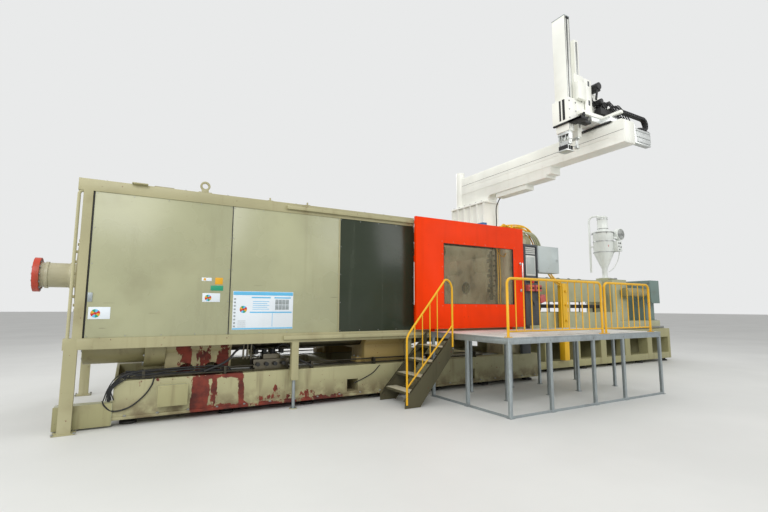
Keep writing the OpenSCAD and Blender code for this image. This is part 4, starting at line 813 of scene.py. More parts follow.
@dataclass
class Hoses(Assembly):
    """The yellow hoses from the platen's top to the injection side."""

    radius: float = 0.017
    top: float = 3.39
    routes: tuple[tuple[Point, ...], ...] = (
        (
            (0.25, -0.70, 0.03), (0.42, -0.86, 0.07), (0.62, -1.01, 0.09), (0.82, -1.09, 0.09),
            (0.98, -1.12, 0.06), (1.12, -1.125, -0.06), (1.24, -1.125, -0.25), (1.36, -1.115, -0.45),
            (1.50, -1.095, -0.64), (1.66, -1.06, -0.82), (1.85, -1.01, -0.98), (2.08, -0.94, -1.10),
            (2.33, -0.86, -1.17), (2.57, -0.80, -1.19),
        ),
        (
            (0.25, -0.62, 0.03), (0.40, -0.78, 0.11), (0.60, -0.93, 0.14), (0.80, -1.02, 0.14),
            (0.97, -1.05, 0.10), (1.11, -1.055, -0.03), (1.23, -1.055, -0.21), (1.35, -1.045, -0.40),
            (1.49, -1.025, -0.58), (1.65, -0.99, -0.74), (1.85, -0.94, -0.88), (2.08, -0.87, -1.00),
            (2.33, -0.80, -1.10), (2.60, -0.76, -1.18),
        ),
        (
            (0.25, -0.70, 0.095), (0.42, -0.86, 0.135), (0.62, -1.01, 0.155), (0.83, -1.09, 0.155),
            (1.00, -1.12, 0.12), (1.16, -1.125, -0.015), (1.295, -1.125, -0.215), (1.415, -1.115, -0.415),
            (1.555, -1.095, -0.60), (1.715, -1.06, -0.775), (1.90, -1.01, -0.93), (2.12, -0.94, -1.05),
            (2.35, -0.86, -1.12), (2.56, -0.79, -1.15),
        ),
        (
            (0.25, -0.62, 0.095), (0.40, -0.78, 0.17), (0.60, -0.93, 0.205), (0.81, -1.02, 0.205),
            (1.00, -1.05, 0.165), (1.155, -1.055, 0.025), (1.285, -1.055, -0.165), (1.405, -1.045, -0.36),
            (1.545, -1.025, -0.545), (1.705, -0.99, -0.705), (1.90, -0.94, -0.845), (2.12, -0.87, -0.96),
            (2.36, -0.80, -1.06), (2.59, -0.75, -1.14),
        ),
    )

    def build(self) -> None:
        """Makes the hoses as cords and their two blocks."""
        hoses = [self.hose(i, route) for i, route in enumerate(self.routes)]
        blocks = Shape()
        blocks.box((0.18, -0.76, 3.35), (0.25, -0.56, 3.53), 0.004)
        blocks.box((2.50, -0.86, 0.29), (2.68, -0.70, 2.26), 0.006)
        for z in (0.9, 1.3, 1.7, 2.05):
            blocks.rod((2.59, -0.862, z), (2.59, -0.90, z), 0.03, sides=6)
        made = self.add(blocks, "hose_blocks", "hoses", HOSE)
        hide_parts("hoses")
        for hose in hoses:
            self.made.append(hose.name)

    def hose(self, number: int, route: Sequence[Point]) -> bpy.types.Object:
        """Args:
            number: its place in the bundle.
            route: its points, with heights above the platen's top.

        Returns:
            The hose.
        """
        line = Route([(x, y, z + self.top) for x, y, z in route], 3)
        curve = bpy.data.curves.new(f"yellow_hose_{number}", "CURVE")
        curve.dimensions = "3D"
        curve.bevel_depth = self.radius
        curve.bevel_resolution = 4
        curve.use_fill_caps = True
        spline = curve.splines.new("POLY")
        spline.points.add(len(line.points) - 1)
        for knot, point in zip(spline.points, line.points):
            knot.co = (*point, 1.0)
        spline.use_smooth = True
        curve.materials.append(HOSE.material())
        made = linked(curve.name, curve)
        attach(made, "base")
        return made


@dataclass
class Beds(Assembly):
    """Both beds with their feet, ways and the pipes beside the clamp."""

    top: float = 0.60
    side: float = 1.35
    bolt: float = 0.018

    def build(self) -> None:
        """Dresses the beds and adds bolts, pipes and valves."""
        self.skins(
            ("clamp_bed", BED, 0.006), ("injection_bed", BOX_BEIGE, 0.006), ("machine_feet", FOOT, 0.003),
            ("bed_ways", STEEL, 0.002),
        )
        bolts = Shape().hexes(
            [(x, -self.side - 0.015, 0.13) for x in spaced(-7.2, 0.8, 21)], Axis.Z, self.bolt, 0.016
        )
        self.add(bolts.mirrored(), "bed_bolts", "bed_ways", STEEL)
        self.pipes()
        self.valves()

    def pipes(self) -> None:
        """Adds the oil pipes and cables that run along the bed's top edge."""
        steel = Shape()
        for i, z in enumerate((0.635, 0.70)):
            y = -1.315 + i * 0.03
            steel.swept(
                [(-7.25, y, z), (-6.9, y, z), (-5.6, y, z), (-5.5, y, z), (-5.42, -1.22, z + 0.02)], 0.014,
                10, 3,
            )
            steel.swept(
                [(-4.9, -1.22, z + 0.02), (-4.8, y, z), (-4.6, y, z), (-1.6, y, z), (-0.7, y, z)], 0.014, 10,
                3,
            )
        for x in (-7.0, -5.9, -4.5, -3.3, -2.1, -0.9):
            steel.box((x - 0.02, -1.34, self.top), (x + 0.02, -1.25, 0.72), 0.003)
        self.add(steel.mirrored(), "bed_pipes", "tie_bars", GREASE)
        tangle = Shape()
        for i in range(9):
            sway = math.sin(i * 2.3)
            y = -1.30 - 0.012 * (i % 3)
            z = 0.622 + 0.013 * i
            start = -7.20 + 0.05 * sway
            end = -6.1 + 0.22 * math.cos(i * 1.7)
            tangle.swept(
                [
                    (start, y, z), (start + 0.25, y - 0.01, z + 0.03 * sway),
                    (-6.62, y + 0.02, z + 0.02 * math.cos(i)), (end, y, z - 0.01 * sway),
                    (end + 0.15, y + 0.06, 0.612),
                ],
                0.007 + 0.003 * (i % 2), 8, 4,
            )
        for i in range(5):
            x = -7.25 + i * 0.035
            tangle.swept(
                [
                    (x, -1.31, 0.70), (x - 0.10, -1.36, 0.63), (-7.42 + i * 0.012, -1.385, 0.5),
                    (-7.46 + i * 0.03, -1.385, 0.36),
                ],
                0.008, 8, 5,
            )
        tangle.swept(
            [
                (-6.86, -1.345, 0.62), (-6.9, -1.368, 0.5), (-7.0, -1.366, 0.36), (-7.16, -1.366, 0.24),
                (-7.34, -1.368, 0.21), (-7.44, -1.38, 0.29), (-7.47, -1.385, 0.36),
            ],
            0.0095, 8, 5,
        )
        self.add(tangle, "bed_cables", "cable_chain", BLACK)

    def valves(self) -> None:
        """Adds the valve block on the bed between the platens."""
        block = Shape().box((-5.46, -1.26, self.top), (-4.88, -1.02, 0.78), 0.004)
        block.box((-5.30, -1.24, 0.78), (-5.02, -1.04, 0.86), 0.004)
        self.add(block, "valve_block", "tie_bars", OILY)
        coils = Shape()
        for x in (-5.40, -5.26, -5.12, -4.98):
            coils.rod((x, -1.27, 0.71), (x, -1.335, 0.71), 0.032)
            coils.box((x - 0.03, -1.2, 0.86), (x + 0.03, -1.08, 0.93), 0.006)
        self.add(coils, "valve_coils", "cable_chain", BLACK)
        leads = Shape()
        leads.swept(
            [
                (-5.4, -1.14, 0.92), (-5.5, -1.18, 1.02), (-5.72, -1.3, 0.95), (-5.9, -1.33, 0.78),
                (-6.2, -1.33, 0.66),
            ],
            0.017,
        )
        leads.swept(
            [
                (-5.1, -1.14, 0.92), (-4.95, -1.2, 1.0), (-4.8, -1.29, 0.9), (-4.72, -1.32, 0.76),
                (-4.5, -1.33, 0.64),
            ],
            0.015,
        )
        leads.swept(
            [(-7.0, -1.30, 0.72), (-7.25, -1.33, 0.66), (-7.38, -1.36, 0.5), (-7.40, -1.37, 0.34)], 0.02
        )
        leads.swept(
            [(-3.2, -1.357, 0.58), (-3.35, -1.362, 0.45), (-3.55, -1.362, 0.36), (-3.72, -1.357, 0.30)],
            0.008,
        )
        self.add(leads, "bed_leads", "cable_chain", BLACK)


@dataclass
class Clamp(Assembly):
    """Platens, bars and the hydraulics that close the mould."""

    centre: float = 2.10
    bar_y: float = 0.96
    bar_z: float = 1.02
    front: float = -0.0005

    def build(self) -> None:
        """Dresses the clamp's solids and adds its fittings."""
        self.skins(
            ("fixed_platen", IRON, 0.004), ("rear_platen", REAR, 0.008), ("moving_platen", MOVING, 0.005),
            ("tie_bars", OILY, 0.003), ("tie_bar_nuts", HYDRAULIC, 0.005),
            ("clamp_cylinder", HYDRAULIC, 0.004), ("clamp_ram", CHROME, 0.004),
            ("booster_cylinder", PALE, 0.004), ("jack_cylinders", HYDRAULIC, 0.003),
            ("jack_rods", CHROME, 0.003), ("ejector_plate", CHROME, 0.002),
        )
        self.fasteners()
        self.pipes()

    def fasteners(self) -> None:
        """Adds the bolts of flanges, nuts, caps and shoes, and the booster's bands and rim."""
        bolts = Shape()
        bolts.flange((-5.73, 0, self.centre), 0.645, 24, 0.016, 0.02)
        bolts.flange((-8.44, 0, self.centre), 0.225, 12, 0.014, 0.016)
        bolts.flange((-8.52, 0, self.centre), 0.2, 12, 0.014, 0.016, -1)
        for y in (-self.bar_y, self.bar_y):
            for z in (self.centre - self.bar_z, self.centre + self.bar_z):
                bolts.flange((0.94, y, z), 0.25, 12, 0.018, 0.02)
                bolts.flange((-7.75, y, z), 0.22, 10, 0.014, 0.016, -1)
                bolts.flange((-7.0, y, z), 0.31, 12, 0.016, 0.018, -1)
        self.add(bolts, "clamp_bolts", "bed_ways", STEEL)
        pushers = Shape().flange((-3.53, 0, self.centre), 0.51, 18, 0.016, 0.02, -1)
        self.add(pushers, "ram_bolts", "bed_ways", STEEL, "moving_platen")
        band = Shape()
        for x in (-8.05, -8.36):
            band.ring((0.188, 0.205), (-0.02, 0.02), (x, 0, self.centre), Axis.X)
        self.add(band, "booster_bands", "booster_cylinder", PALE)
        rim = Shape()
        rim.spun(
            [
                (0.10, -0.0005), (0.2615, -0.0005), (0.2615, 0.0805), (0.192, 0.0805), (0.192, 0.079),
                (0.10, 0.079), (0.10, -0.0005),
            ],
            (-8.52, 0, self.centre), Axis.X, 56,
        )
        self.add(rim, "booster_rim", "emergency_stop", FLANGE_RED)
        shoes = Shape()
        for x in (-3.5, -2.4):
            shoes.hexes([(x, y, 0.7103) for y in (-1.06, -0.9)], Axis.Z, 0.016, 0.018)
        self.add(shoes.mirrored(), "shoe_bolts", "bed_ways", STEEL, "moving_platen")

    def pipes(self) -> None:
        """Adds the pipes on the clamp cylinder and hoses on the platens."""
        steel = Shape()
        steel.swept(
            [
                (-7.4, 0.2, 2.68), (-7.4, 0.22, 2.86), (-7.3, 0.3, 2.95), (-6.9, 0.36, 2.97),
                (-6.2, 0.38, 3.3), (-6.0, 0.38, 3.38), (-5.4, 0.38, 3.22), (-5.3, 0.4, 2.9),
                (-5.32, 0.45, 2.62),
            ],
            0.045, 14,
        )
        steel.swept(
            [
                (-7.6, -0.2, 2.68), (-7.6, -0.24, 2.84), (-7.5, -0.32, 2.93), (-6.95, -0.36, 2.97),
                (-6.8, -0.38, 2.8), (-6.76, -0.38, 2.66),
            ],
            0.035, 14,
        )
        for x, y in ((-7.4, 0.2), (-7.6, -0.2)):
            steel.rod((x, y, 2.66), (x, y, 2.72), 0.075)
        self.add(steel, "cylinder_pipes", "tie_bars", OILY)
        rubber = Shape()
        for i in range(4):
            y = -0.76 - i * 0.05
            rubber.swept(
                [
                    (-6.9, y, 2.5), (-7.05, y - 0.02, 2.35), (-7.1, y, 1.9), (-7.12, y, 1.5),
                    (-7.2, y + 0.05, 1.42),
                ],
                0.018,
            )
        self.add(rubber.mirrored(), "clamp_hoses", "cable_chain", BLACK)
        tubes = Shape()
        for i in range(3):
            x = -5.62 + i * 0.06
            tubes.swept(
                [(x, -1.24, 0.80), (x, -1.27, 1.0), (x + 0.02, -1.30, 1.4), (x + 0.05, -1.31, 2.0)], 0.015
            )
        self.add(tubes, "platen_tubes", "tie_bars", OILY)
        self.mould_side()

    def mould_side(self) -> None:
        """Adds what shows on the fixed platen through the door's window."""
        # A dark disc on the bore's floor is painted shade for the inside of the recess.
        bore_shade = Shape().ring((0.05, 0.1572), (0.0565, 0.0595), (0, 0, self.centre), Axis.X, 48, True)
        self.add(bore_shade, "bore_floor_shade", "tie_bars", BORE_SHADE_IRON)
        wall = Shape().ring((0.1478, 0.1572), (0.002, 0.056), (0, 0, self.centre), Axis.X, 48, True)
        self.add(wall, "bore_wall", "bed_ways", STEEL)
        fixtures = Shape()
        for i in range(9):
            z = 1.86 + i * 0.115
            reach = 0.035 + 0.03 * ((i * 5) % 3)
            stud = -1.0 - 0.04 * (i % 2)
            fixtures.box((-0.03, -0.915, z), (self.front, -0.885 + reach, z + 0.075), 0.004)
            fixtures.rod((self.front, stud, z + 0.03), (-0.03, stud, z + 0.03), 0.02, sides=6)
        fixtures.box((-0.018, -0.94, 1.80), (self.front, -0.87, 2.92), 0.003)
        for y in (-1.20, -1.08):
            fixtures.box((-0.02, y, 1.5), (self.front, y + 0.03, 3.0), 0.003)
        self.add(fixtures, "mould_fixtures", "cable_chain", FIXTURE)
        lines = Shape()
        for i, x in enumerate((-0.20, -0.15)):
            y = -1.325 - 0.012 * i
            lines.swept(
                [
                    (0.10, -1.30, 3.12), (x + 0.12, y, 3.10), (x + 0.02, y, 2.96), (x, y, 2.6),
                    (x + 0.012, y, 2.2), (x - 0.006, y, 1.9), (x + 0.01, y, 1.66), (x + 0.07, y, 1.56),
                    (0.06, -1.30, 1.60),
                ],
                0.012, 10, 5,
            )
        lines.swept(
            [
                (0.08, -1.30, 2.84), (0.0, -1.33, 2.76), (-0.10, -1.335, 2.77), (-0.22, -1.345, 2.86),
                (-0.30, -1.345, 3.0),
            ],
            0.01, 10, 5,
        )
        self.add(lines, "mould_hoses", "hoses", HOSE)
        self.platen_top()

    def platen_top(self) -> None:
        """Adds the valve box and the loose lines on the fixed platen's top."""
        self.add(
            Shape().box((0.015, -0.64, 3.3505), (0.145, -0.43, 3.66), 0.006), "valve_box", "oil_tank", BLUE
        )
        loops = Shape()
        for i in range(4):
            y = -1.05 + 0.035 * i
            rise = 0.03 * math.sin(i * 2.1)
            loops.swept(
                [
                    (0.12 + 0.05 * i, y, 3.365), (0.20 + 0.05 * i, y, 3.50 + rise),
                    (0.36, y + 0.02, 3.555 + rise), (0.52, y - 0.02, 3.50 - rise), (0.62, y, 3.545 - rise),
                    (0.70, y + 0.01, 3.47), (0.72, y + 0.02, 3.365),
                ],
                0.013, 10, 5,
            )
        self.add(loops, "loose_lines", "hoses", HOSE)
        pale = Shape()
        for i in range(3):
            y = -1.215 - 0.008 * i
            x = 0.06 * i
            pale.swept(
                [
                    (0.58 + x, -1.10, 3.34), (0.74 + x, -1.17, 3.40), (0.92 + x, y, 3.37),
                    (1.10 + x, y, 3.22), (1.20 + x, y, 2.98), (1.24 + x, y, 2.70),
                ],
                0.022, 12, 5,
            )
        self.add(pale, "pale_hoses", "carriage", BEIGE)


@dataclass
class Covers(Assembly):
    """The cover frame with its panels, lugs, notices and trim."""

    face: float = -1.49
    plane: float = -1.50
    panels: tuple[tuple[float, float], ...] = ((-7.722, -5.914), (-5.906, -4.098), (-4.09, -2.54))
    low: float = 1.2013
    high: float = 3.1767

    def build(self) -> None:
        """Dresses the covers and adds what is fixed to them."""
        self.skins(
            ("cover_frame", FRAME, 0.003), ("front_covers", BEIGE, 0.001), ("grey_cover", GREY, 0.001),
            ("rear_covers", BEIGE, 0.001), ("lifting_lugs", FRAME, 0.003),
        )
        self.screws()
        self.trim()
        self.notices()
        self.fixings()

    def screws(self) -> None:
        """Adds the screws along the panels' edges, on both sides."""
        heads = Shape()
        inset = 0.022
        for left, right in self.panels:
            for x in spaced(left + inset, right - inset, 5):
                for z in (self.low + inset, self.high - inset):
                    heads.screw(x, self.face, z, 0.008)
            for z in spaced(self.low + 0.5, self.high - 0.5, 3):
                for x in (left + inset, right - inset):
                    heads.screw(x, self.face, z, 0.008)
        self.add(heads.mirrored(), "cover_screws", "bed_ways", STEEL)

    def trim(self) -> None:
        """Adds the dark strip in one seam and the pale edge of the other."""
        dark = Shape()
        dark.box((-5.9165, self.face - 0.004, self.low), (-5.9035, self.face + 0.03, self.high), 0.001)
        dark.box((-7.744, self.plane + 0.02, self.low), (-7.724, self.face + 0.03, self.high), 0.002)
        self.add(dark.mirrored(), "seam_strips", "cable_chain", BLACK)
        pale = Shape().box(
            (-4.112, self.face - 0.006, self.low), (-4.086, self.face - 0.0005, self.high), 0.001
        )
        pale.box((-4.0975, self.face - 0.003, self.low), (-4.0905, self.face + 0.03, self.high), 0.0005)
        self.add(pale.mirrored(), "pale_edge", "cover_frame", FRAME)

    def field(
        self, shape: Shape, left: float, right: float, low: float, high: float, front: float = 0.003,
        back: float = 0.0005, soft: float = 0.0005,
    ) -> Shape:
        """Adds a thin blank field on the covers, between two distances from their face."""
        return shape.box((left, self.face - front, low), (right, self.face - back, high), soft)

    def notices(self) -> None:
        """Adds the blank notice sheet and the plain coloured tags."""
        y = self.face
        sheet = self.field(Shape(), -5.86, -4.91, 1.27, 1.86, 0.004, soft=0.0008)
        for row in ((-6.30, -6.05, 1.69, 1.82), (-7.70, -7.45, 1.45, 1.61), (-6.32, -6.18, 2.0, 2.05)):
            self.field(sheet, *row)
        self.add(sheet, "notice_sheets", "side_cabinet", PAPER)
        bands = Shape()
        rows = (
            (-5.855, -4.915, 1.80, 1.855), (-5.855, -4.915, 1.275, 1.295), (-5.60, -4.93, 1.525, 1.545),
            (-5.58, -5.28, 1.755, 1.775), (-5.22, -4.95, 1.755, 1.775),
        )
        for row in rows:
            self.field(bands, *row, 0.0052, 0.0035, 0.0004)
        for i in range(5):
            self.field(
                bands, -5.56, -5.30 - 0.03 * (i % 2), 1.70 - i * 0.03, 1.708 - i * 0.03, 0.0048, 0.0035,
                0.0003,
            )
        self.field(bands, -5.25, -5.243, 1.31, 1.52, 0.0052, 0.0035, 0.0003)
        self.add(bands, "notice_bands", "side_cabinet", SKY)
        greys = Shape()
        for i in range(4):
            for k in range(2):
                x, z = -5.205 + i * 0.0575, 1.575 + k * 0.084
                self.field(greys, x, x + 0.052, z, z + 0.078, 0.0052, 0.0035, 0.0004)
        for i in range(9):
            self.field(greys, -5.845, -5.815, 1.31 + i * 0.052, 1.335 + i * 0.052, 0.005, 0.0035, 0.0003)
        for i in range(4):
            self.field(greys, -5.78, -5.66, 1.31 + i * 0.03, 1.316 + i * 0.03, 0.005, 0.0035, 0.0003)
        self.field(greys, -7.72, -7.665, 1.68, 1.80, 0.006, soft=0.001)
        self.add(greys, "notice_fields", "platform_frame", ZINC)
        self.add(self.field(Shape(), -6.19, -6.01, 1.86, 1.935), "green_tag", "oil_tank", GREEN)
        amber = self.field(Shape(), -6.13, -6.02, 1.955, 2.055)
        discs = ((-6.22, 1.75, 0.046), (-7.62, 1.525, 0.055), (-5.70, 1.58, 0.055))
        fields = [Shape(), Shape(), Shape(), amber]
        for x, z, r in discs:
            for i in range(8):
                a = math.pi * i / 4
                wedge = Shape().rod((x, y - 0.0025, z), (x, y - 0.0058, z), r, sides=32, soft=0)
                wedge.cut((x, y, z), (math.sin(a), 0, -math.cos(a)))
                wedge.cut((x, y, z), (-math.sin(a + math.pi / 4), 0, math.cos(a + math.pi / 4)))
                fields[i % 4].take(wedge.mesh)
            fields[0].rod((x, y - 0.0025, z), (x, y - 0.0062, z), r * 0.3, sides=16, soft=0)
        looks = (("red", "emergency_stop", RED), ("blue", "side_cabinet", SKY), ("green", "oil_tank", GREEN))
        for shape, (tone, like, finish) in zip(fields, looks):
            self.add(shape, f"disc_fields_{tone}", like, finish)
        self.field(amber, -6.295, -6.26, 2.008, 2.042, 0.0045, 0.002, 0.0003)
        self.add(amber, "amber_tags", "railings", AMBER)

    def fixings(self) -> None:
        """Adds the frame's bolts and plates, the prop poles and the box lids."""
        steel = Shape()
        steel.hexes([(x, y, 0.016) for x in (-7.975, -7.745) for y in (-1.54, -1.36)], Axis.Z, 0.014, 0.016)
        steel.hexes(
            [(x, -1.475, 3.3373) for x in (-7.6, -7.2, -6.6, -6.0, -4.9, -3.6, -3.2)], Axis.Z, 0.012, 0.012
        )
        self.add(steel.mirrored(), "frame_bolts", "bed_ways", STEEL)
        plates = Shape()
        for left, right, z in ((-7.80, -7.62, 1.06), (-4.93, -4.77, 1.06), (-2.62, -2.545, 3.19)):
            plates.box((left, -1.503, z), (right, -1.4995, z + 0.13), 0.001)
        plates.box((-7.30, -1.56, 3.335), (-7.10, -1.47, 3.35), 0.002)
        self.add(plates.mirrored(), "frame_plates", "cover_frame", FRAME)
        pole = Shape().rod((-4.85, -1.45, 0.012), (-4.85, -1.45, 0.74), 0.0262, sides=28)
        pole.rod((-4.85, -1.45, 0.001), (-4.85, -1.45, 0.014), 0.05, sides=28)
        pole.rod((-4.85, -1.45, 0.74), (-4.85, -1.45, 0.765), 0.036, sides=6)
        self.add(pole.mirrored(), "prop_poles", "platform_frame", ZINC)
        lids = Shape().box((-6.815, -1.466, 0.225), (-6.425, -1.4595, 0.515), 0.002)
        lids.box((-8.005, -1.3765, 0.026), (-7.36, -1.3697, 0.324), 0.002)
        for x, z in ((-6.79, 0.25), (-6.45, 0.25), (-6.79, 0.49), (-6.45, 0.49)):
            lids.rod((x, -1.4655, z), (x, -1.470, z), 0.008, 0.006, 12, 0)
        self.add(lids, "box_lids", "front_covers", BOX_BEIGE)


@dataclass
class Doors(Assembly):
    """Both sliding safety doors with their windows and tracks."""

    face: float = -1.66
    left: float = -1.95
    right: float = -0.07
    low: float = 1.69
    high: float = 2.88

    def build(self) -> None:
        """Dresses the doors and adds gaskets, screws and plates."""
        self.skin("front_door", ORANGE, 0.0012)
        self.skin("rear_door", ORANGE, 0.0012)
        self.coat("front_window", PANE)
        self.coat("rear_window", PANE)
        self.skin("front_door_fittings", ALU, 0.002)
        self.skin("door_tracks", FRAME, 0.002)
        for sign, body in ((1, "front_door"), (-1, "rear_door")):
            self.gasket(sign, body)
            self.screws(sign, body)

    def put(self, shape: Shape, sign: int, name: str, body: str, like: str, finish: Finish) -> None:
        """Adds a front piece, or its mirror image for the rear door."""
        if sign < 0:
            bmesh.ops.scale(shape.mesh, vec=(1, -1, 1), verts=shape.mesh.verts[:])
            bmesh.ops.reverse_faces(shape.mesh, faces=shape.mesh.faces[:])
        self.add(shape, f"{body}_{name}", like, finish, body)

    def gasket(self, sign: int, body: str) -> None:
        """Adds the rubber round the window."""
        y0, y1 = self.face - 0.002, self.face + 0.031
        lip = 0.006
        shape = Shape()
        shape.box((self.left, y0, self.low), (self.right, y1, self.low + lip), 0.002)
        shape.box((self.left, y0, self.high - lip), (self.right, y1, self.high), 0.002)
        shape.box((self.left, y0, self.low), (self.left + lip, y1, self.high), 0.002)
        shape.box((self.right - lip, y0, self.low), (self.right, y1, self.high), 0.002)
        self.put(shape, sign, "gasket", body, "cable_chain", BLACK)

    def screws(self, sign: int, body: str) -> None:
        """Adds screws round the window and the handle's plates."""
        rim = 0.035
        shape = Shape()
        for x in spaced(self.left - rim, self.right + rim, 8):
            for z in (self.low - rim, self.high + rim):
                shape.screw(x, self.face, z, 0.007)
        for z in spaced(self.low - rim, self.high + rim, 6)[1:-1]:
            for x in (self.left - rim, self.right + rim):
                shape.screw(x, self.face, z, 0.007)
        for z in (1.995, 2.575):
            shape.rod((0.14, self.face, z), (0.14, self.face - 0.006, z), 0.032, sides=24)
        self.put(shape, sign, "screws", body, "bed_ways", STEEL)


@dataclass
class Operator(Assembly):
    """The control column, its screen and keys, and the boxes beside it."""

    front: float = -1.56
    key_height: float = 2.2
    strip: float = 0.016

    def build(self) -> None:
        """Dresses the operator side and adds the screen's glass and bezel and the knobs."""
        self.skins(
            ("control_column", DARK, 0.004), ("control_screen", KEY, 0.002), ("emergency_stop", RED, 0.003),
            ("switch_boxes", PINK, 0.003), ("side_cabinet", CABINET, 0.002), ("cabinet_door", CABINET, 0.002),
        )
        glass = Shape().box((0.465, self.front + 0.008, 2.38), (0.715, self.front + 0.014, 2.76), 0.001)
        self.add(glass, "screen_glass", "control_screen", SCREEN)
        bezel = Shape()
        out, back = self.front - 0.006, self.front + 0.0005
        for z in (3.006, 2.288):
            bezel.box((0.415, out, z), (0.765, back, z + self.strip), 0.002)
        for x in (0.399, 0.765):
            bezel.box((x, out, 2.288), (x + self.strip, back, 3.022), 0.002)
        self.add(bezel, "screen_bezel", "control_column", DARK)
        ring = Shape().rod(
            (0.595, self.front, self.key_height), (0.595, out, self.key_height), 0.045, sides=28
        )
        self.add(ring, "stop_ring", "railings", AMBER)
        knobs = Shape()
        for x in (0.44, 0.50, 0.69, 0.75):
            knobs.rod(
                (x, self.front, self.key_height), (x, self.front - 0.02, self.key_height), 0.016, sides=20
            )
        for x in (0.435, 0.525, 0.67, 0.76):
            knobs.rod((x, -1.65, 2.06), (x, -1.675, 2.06), 0.018, sides=20)
        self.add(knobs, "column_knobs", "cable_chain", BLACK)
        self.column_trim()

    def column_trim(self) -> None:
        """Adds the column's louvres and leads and the cabinet's latch."""
        lines = Shape()
        for i in range(9):
            z = 1.42 + i * 0.03
            lines.box((0.47, self.front - 0.008, z), (0.71, self.front + 0.001, z + 0.012), 0.003)
        self.add(lines, "column_louvres", "control_column", DARK)
        leads = Shape()
        leads.swept(
            [
                (0.50, -1.60, 1.992), (0.50, -1.61, 1.92), (0.54, -1.60, 1.8), (0.62, -1.575, 1.72),
                (0.64, -1.562, 1.66),
            ],
            0.009, 10,
        )
        leads.swept(
            [
                (0.73, -1.60, 1.992), (0.73, -1.61, 1.93), (0.74, -1.60, 1.84), (0.80, -1.575, 1.80),
                (0.87, -1.55, 1.79),
            ],
            0.009, 10,
        )
        leads.swept(
            [(0.93, -1.50, 1.745), (0.92, -1.50, 1.62), (0.87, -1.48, 1.48), (0.80, -1.43, 1.40)], 0.012, 10
        )
        self.add(leads, "column_leads", "cable_chain", BLACK)
        latch = Shape().rod((1.51, -1.5203, 2.74), (1.51, -1.528, 2.74), 0.02, sides=20)
        self.add(latch, "cabinet_latch", "bed_ways", STEEL, "cabinet_door")


@dataclass
class Injection(Assembly):
    """The injection unit on its rails, from nozzle to drive."""

    centre: float = 2.10

    def build(self) -> None:
        """Dresses the unit and adds its bolts."""
        self.skins(
            ("carriage", BEIGE, 0.004), ("barrel", STEEL, 0.004), ("heater_bands", ALU, 0.003),
            ("nozzle", OILY, 0.003),
        )
        self.coat("screw", CHROME)
        self.skin("injection_cylinders", HYDRAULIC, 0.003)
        self.ease_bore(self.skin("drive_block", TANK, 0.005))
        self.skin("purge_guard", YELLOW, 0.001)
        bolts = Shape()
        bolts.flange((0.56, 0, self.centre), 0.238, 12, 0.012, 0.014, start=0.2)
        bolts.hexes([(1.5, y, z) for y in (-0.24, 0.24) for z in (1.5, 1.86, 2.34)], Axis.X, 0.02, 0.022, -1)
        bolts.hexes(
            [(x, y, 1.2503) for x in (1.6, 7.2) for y in (-0.58, -0.45, 0.45, 0.58)], Axis.Z, 0.018, 0.02
        )
        for y in (-0.6, 0.6):
            bolts.flange((6.6, y, self.centre), 0.1, 8, 0.012, 0.014)
        self.add(bolts, "unit_bolts", "bed_ways", STEEL, "injection_unit")
        drive = Shape()
        drive.flange((7.21, 0, self.centre), 0.25, 12, 0.014, 0.016)
        drive.hexes([(6.7, y, z) for y in (-0.68, 0.68) for z in (1.85, 2.4)], Axis.X, 0.02, 0.022, -1)
        self.add(drive, "drive_bolts", "bed_ways", STEEL, "screw_drive")
        self.motor()

    def motor(self) -> None:
        """Adds the motor's fins."""
        fins = Shape().fins(7.26, 7.6, (0, self.centre), 0.222, 24, 0.009)
        fins.box((7.3, -0.1, self.centre + 0.2), (7.52, 0.1, self.centre + 0.33), 0.008)
        self.add(fins, "motor_fins", "drive_block", TANK, "screw_drive")
        self.heaters()

    def heaters(self) -> None:
        """Adds the leads of the heater bands and the guard over them."""
        leads = Shape()
        for i, x in enumerate((0.86, 1.32, 1.78, 2.23, 2.69, 3.15, 3.6, 4.06)):
            leads.swept(
                [
                    (x, -0.05, self.centre + 0.285), (x + 0.05, -0.16, 2.46), (x + 0.1, -0.27, 2.38),
                    (x + 0.12, -0.30, 2.2), (x + 0.12, -0.30, 1.75),
                ],
                0.008, 8, 4,
            )
        leads.box((1.75, -0.33, 1.62), (4.8, -0.27, 1.72), 0.006)
        for x in (2.1, 3.3, 4.5):
            leads.box((x, -0.315, 1.2503), (x + 0.05, -0.285, 1.64), 0.003)
        self.add(leads, "heater_leads", "cable_chain", BLACK, "injection_unit")
        guard = Shape()
        guard.box((1.9, -0.36, 2.42), (4.9, 0.36, 2.432), 0.003)
        for y in (-0.36, 0.348):
            guard.box((1.9, y, 1.80), (4.9, y + 0.012, 2.42), 0.003)
        for x in (2.0, 3.38, 4.75):
            for y in (-0.36, 0.34):
                guard.box((x, y, 1.25), (x + 0.05, y + 0.02, 1.81), 0.003)
        for i in range(22):
            x = 2.05 + i * 0.125
            guard.box((x, -0.20, 2.4315), (x + 0.07, 0.20, 2.437), 0.001)
        self.add(guard, "barrel_guard", "carriage", BEIGE, "injection_unit")

    def ease_bore(self, block: bpy.types.Object) -> None:
        """Opens the block's bore by a hair, so that the screw turns clear of its facets."""
        for vertex in block.data.vertices:
            away = Vector((0, vertex.co.y, vertex.co.z - self.centre))
            if vertex.co.x < 6.92 and away.length < 0.08:
                vertex.co += away.normalized() * 0.0006


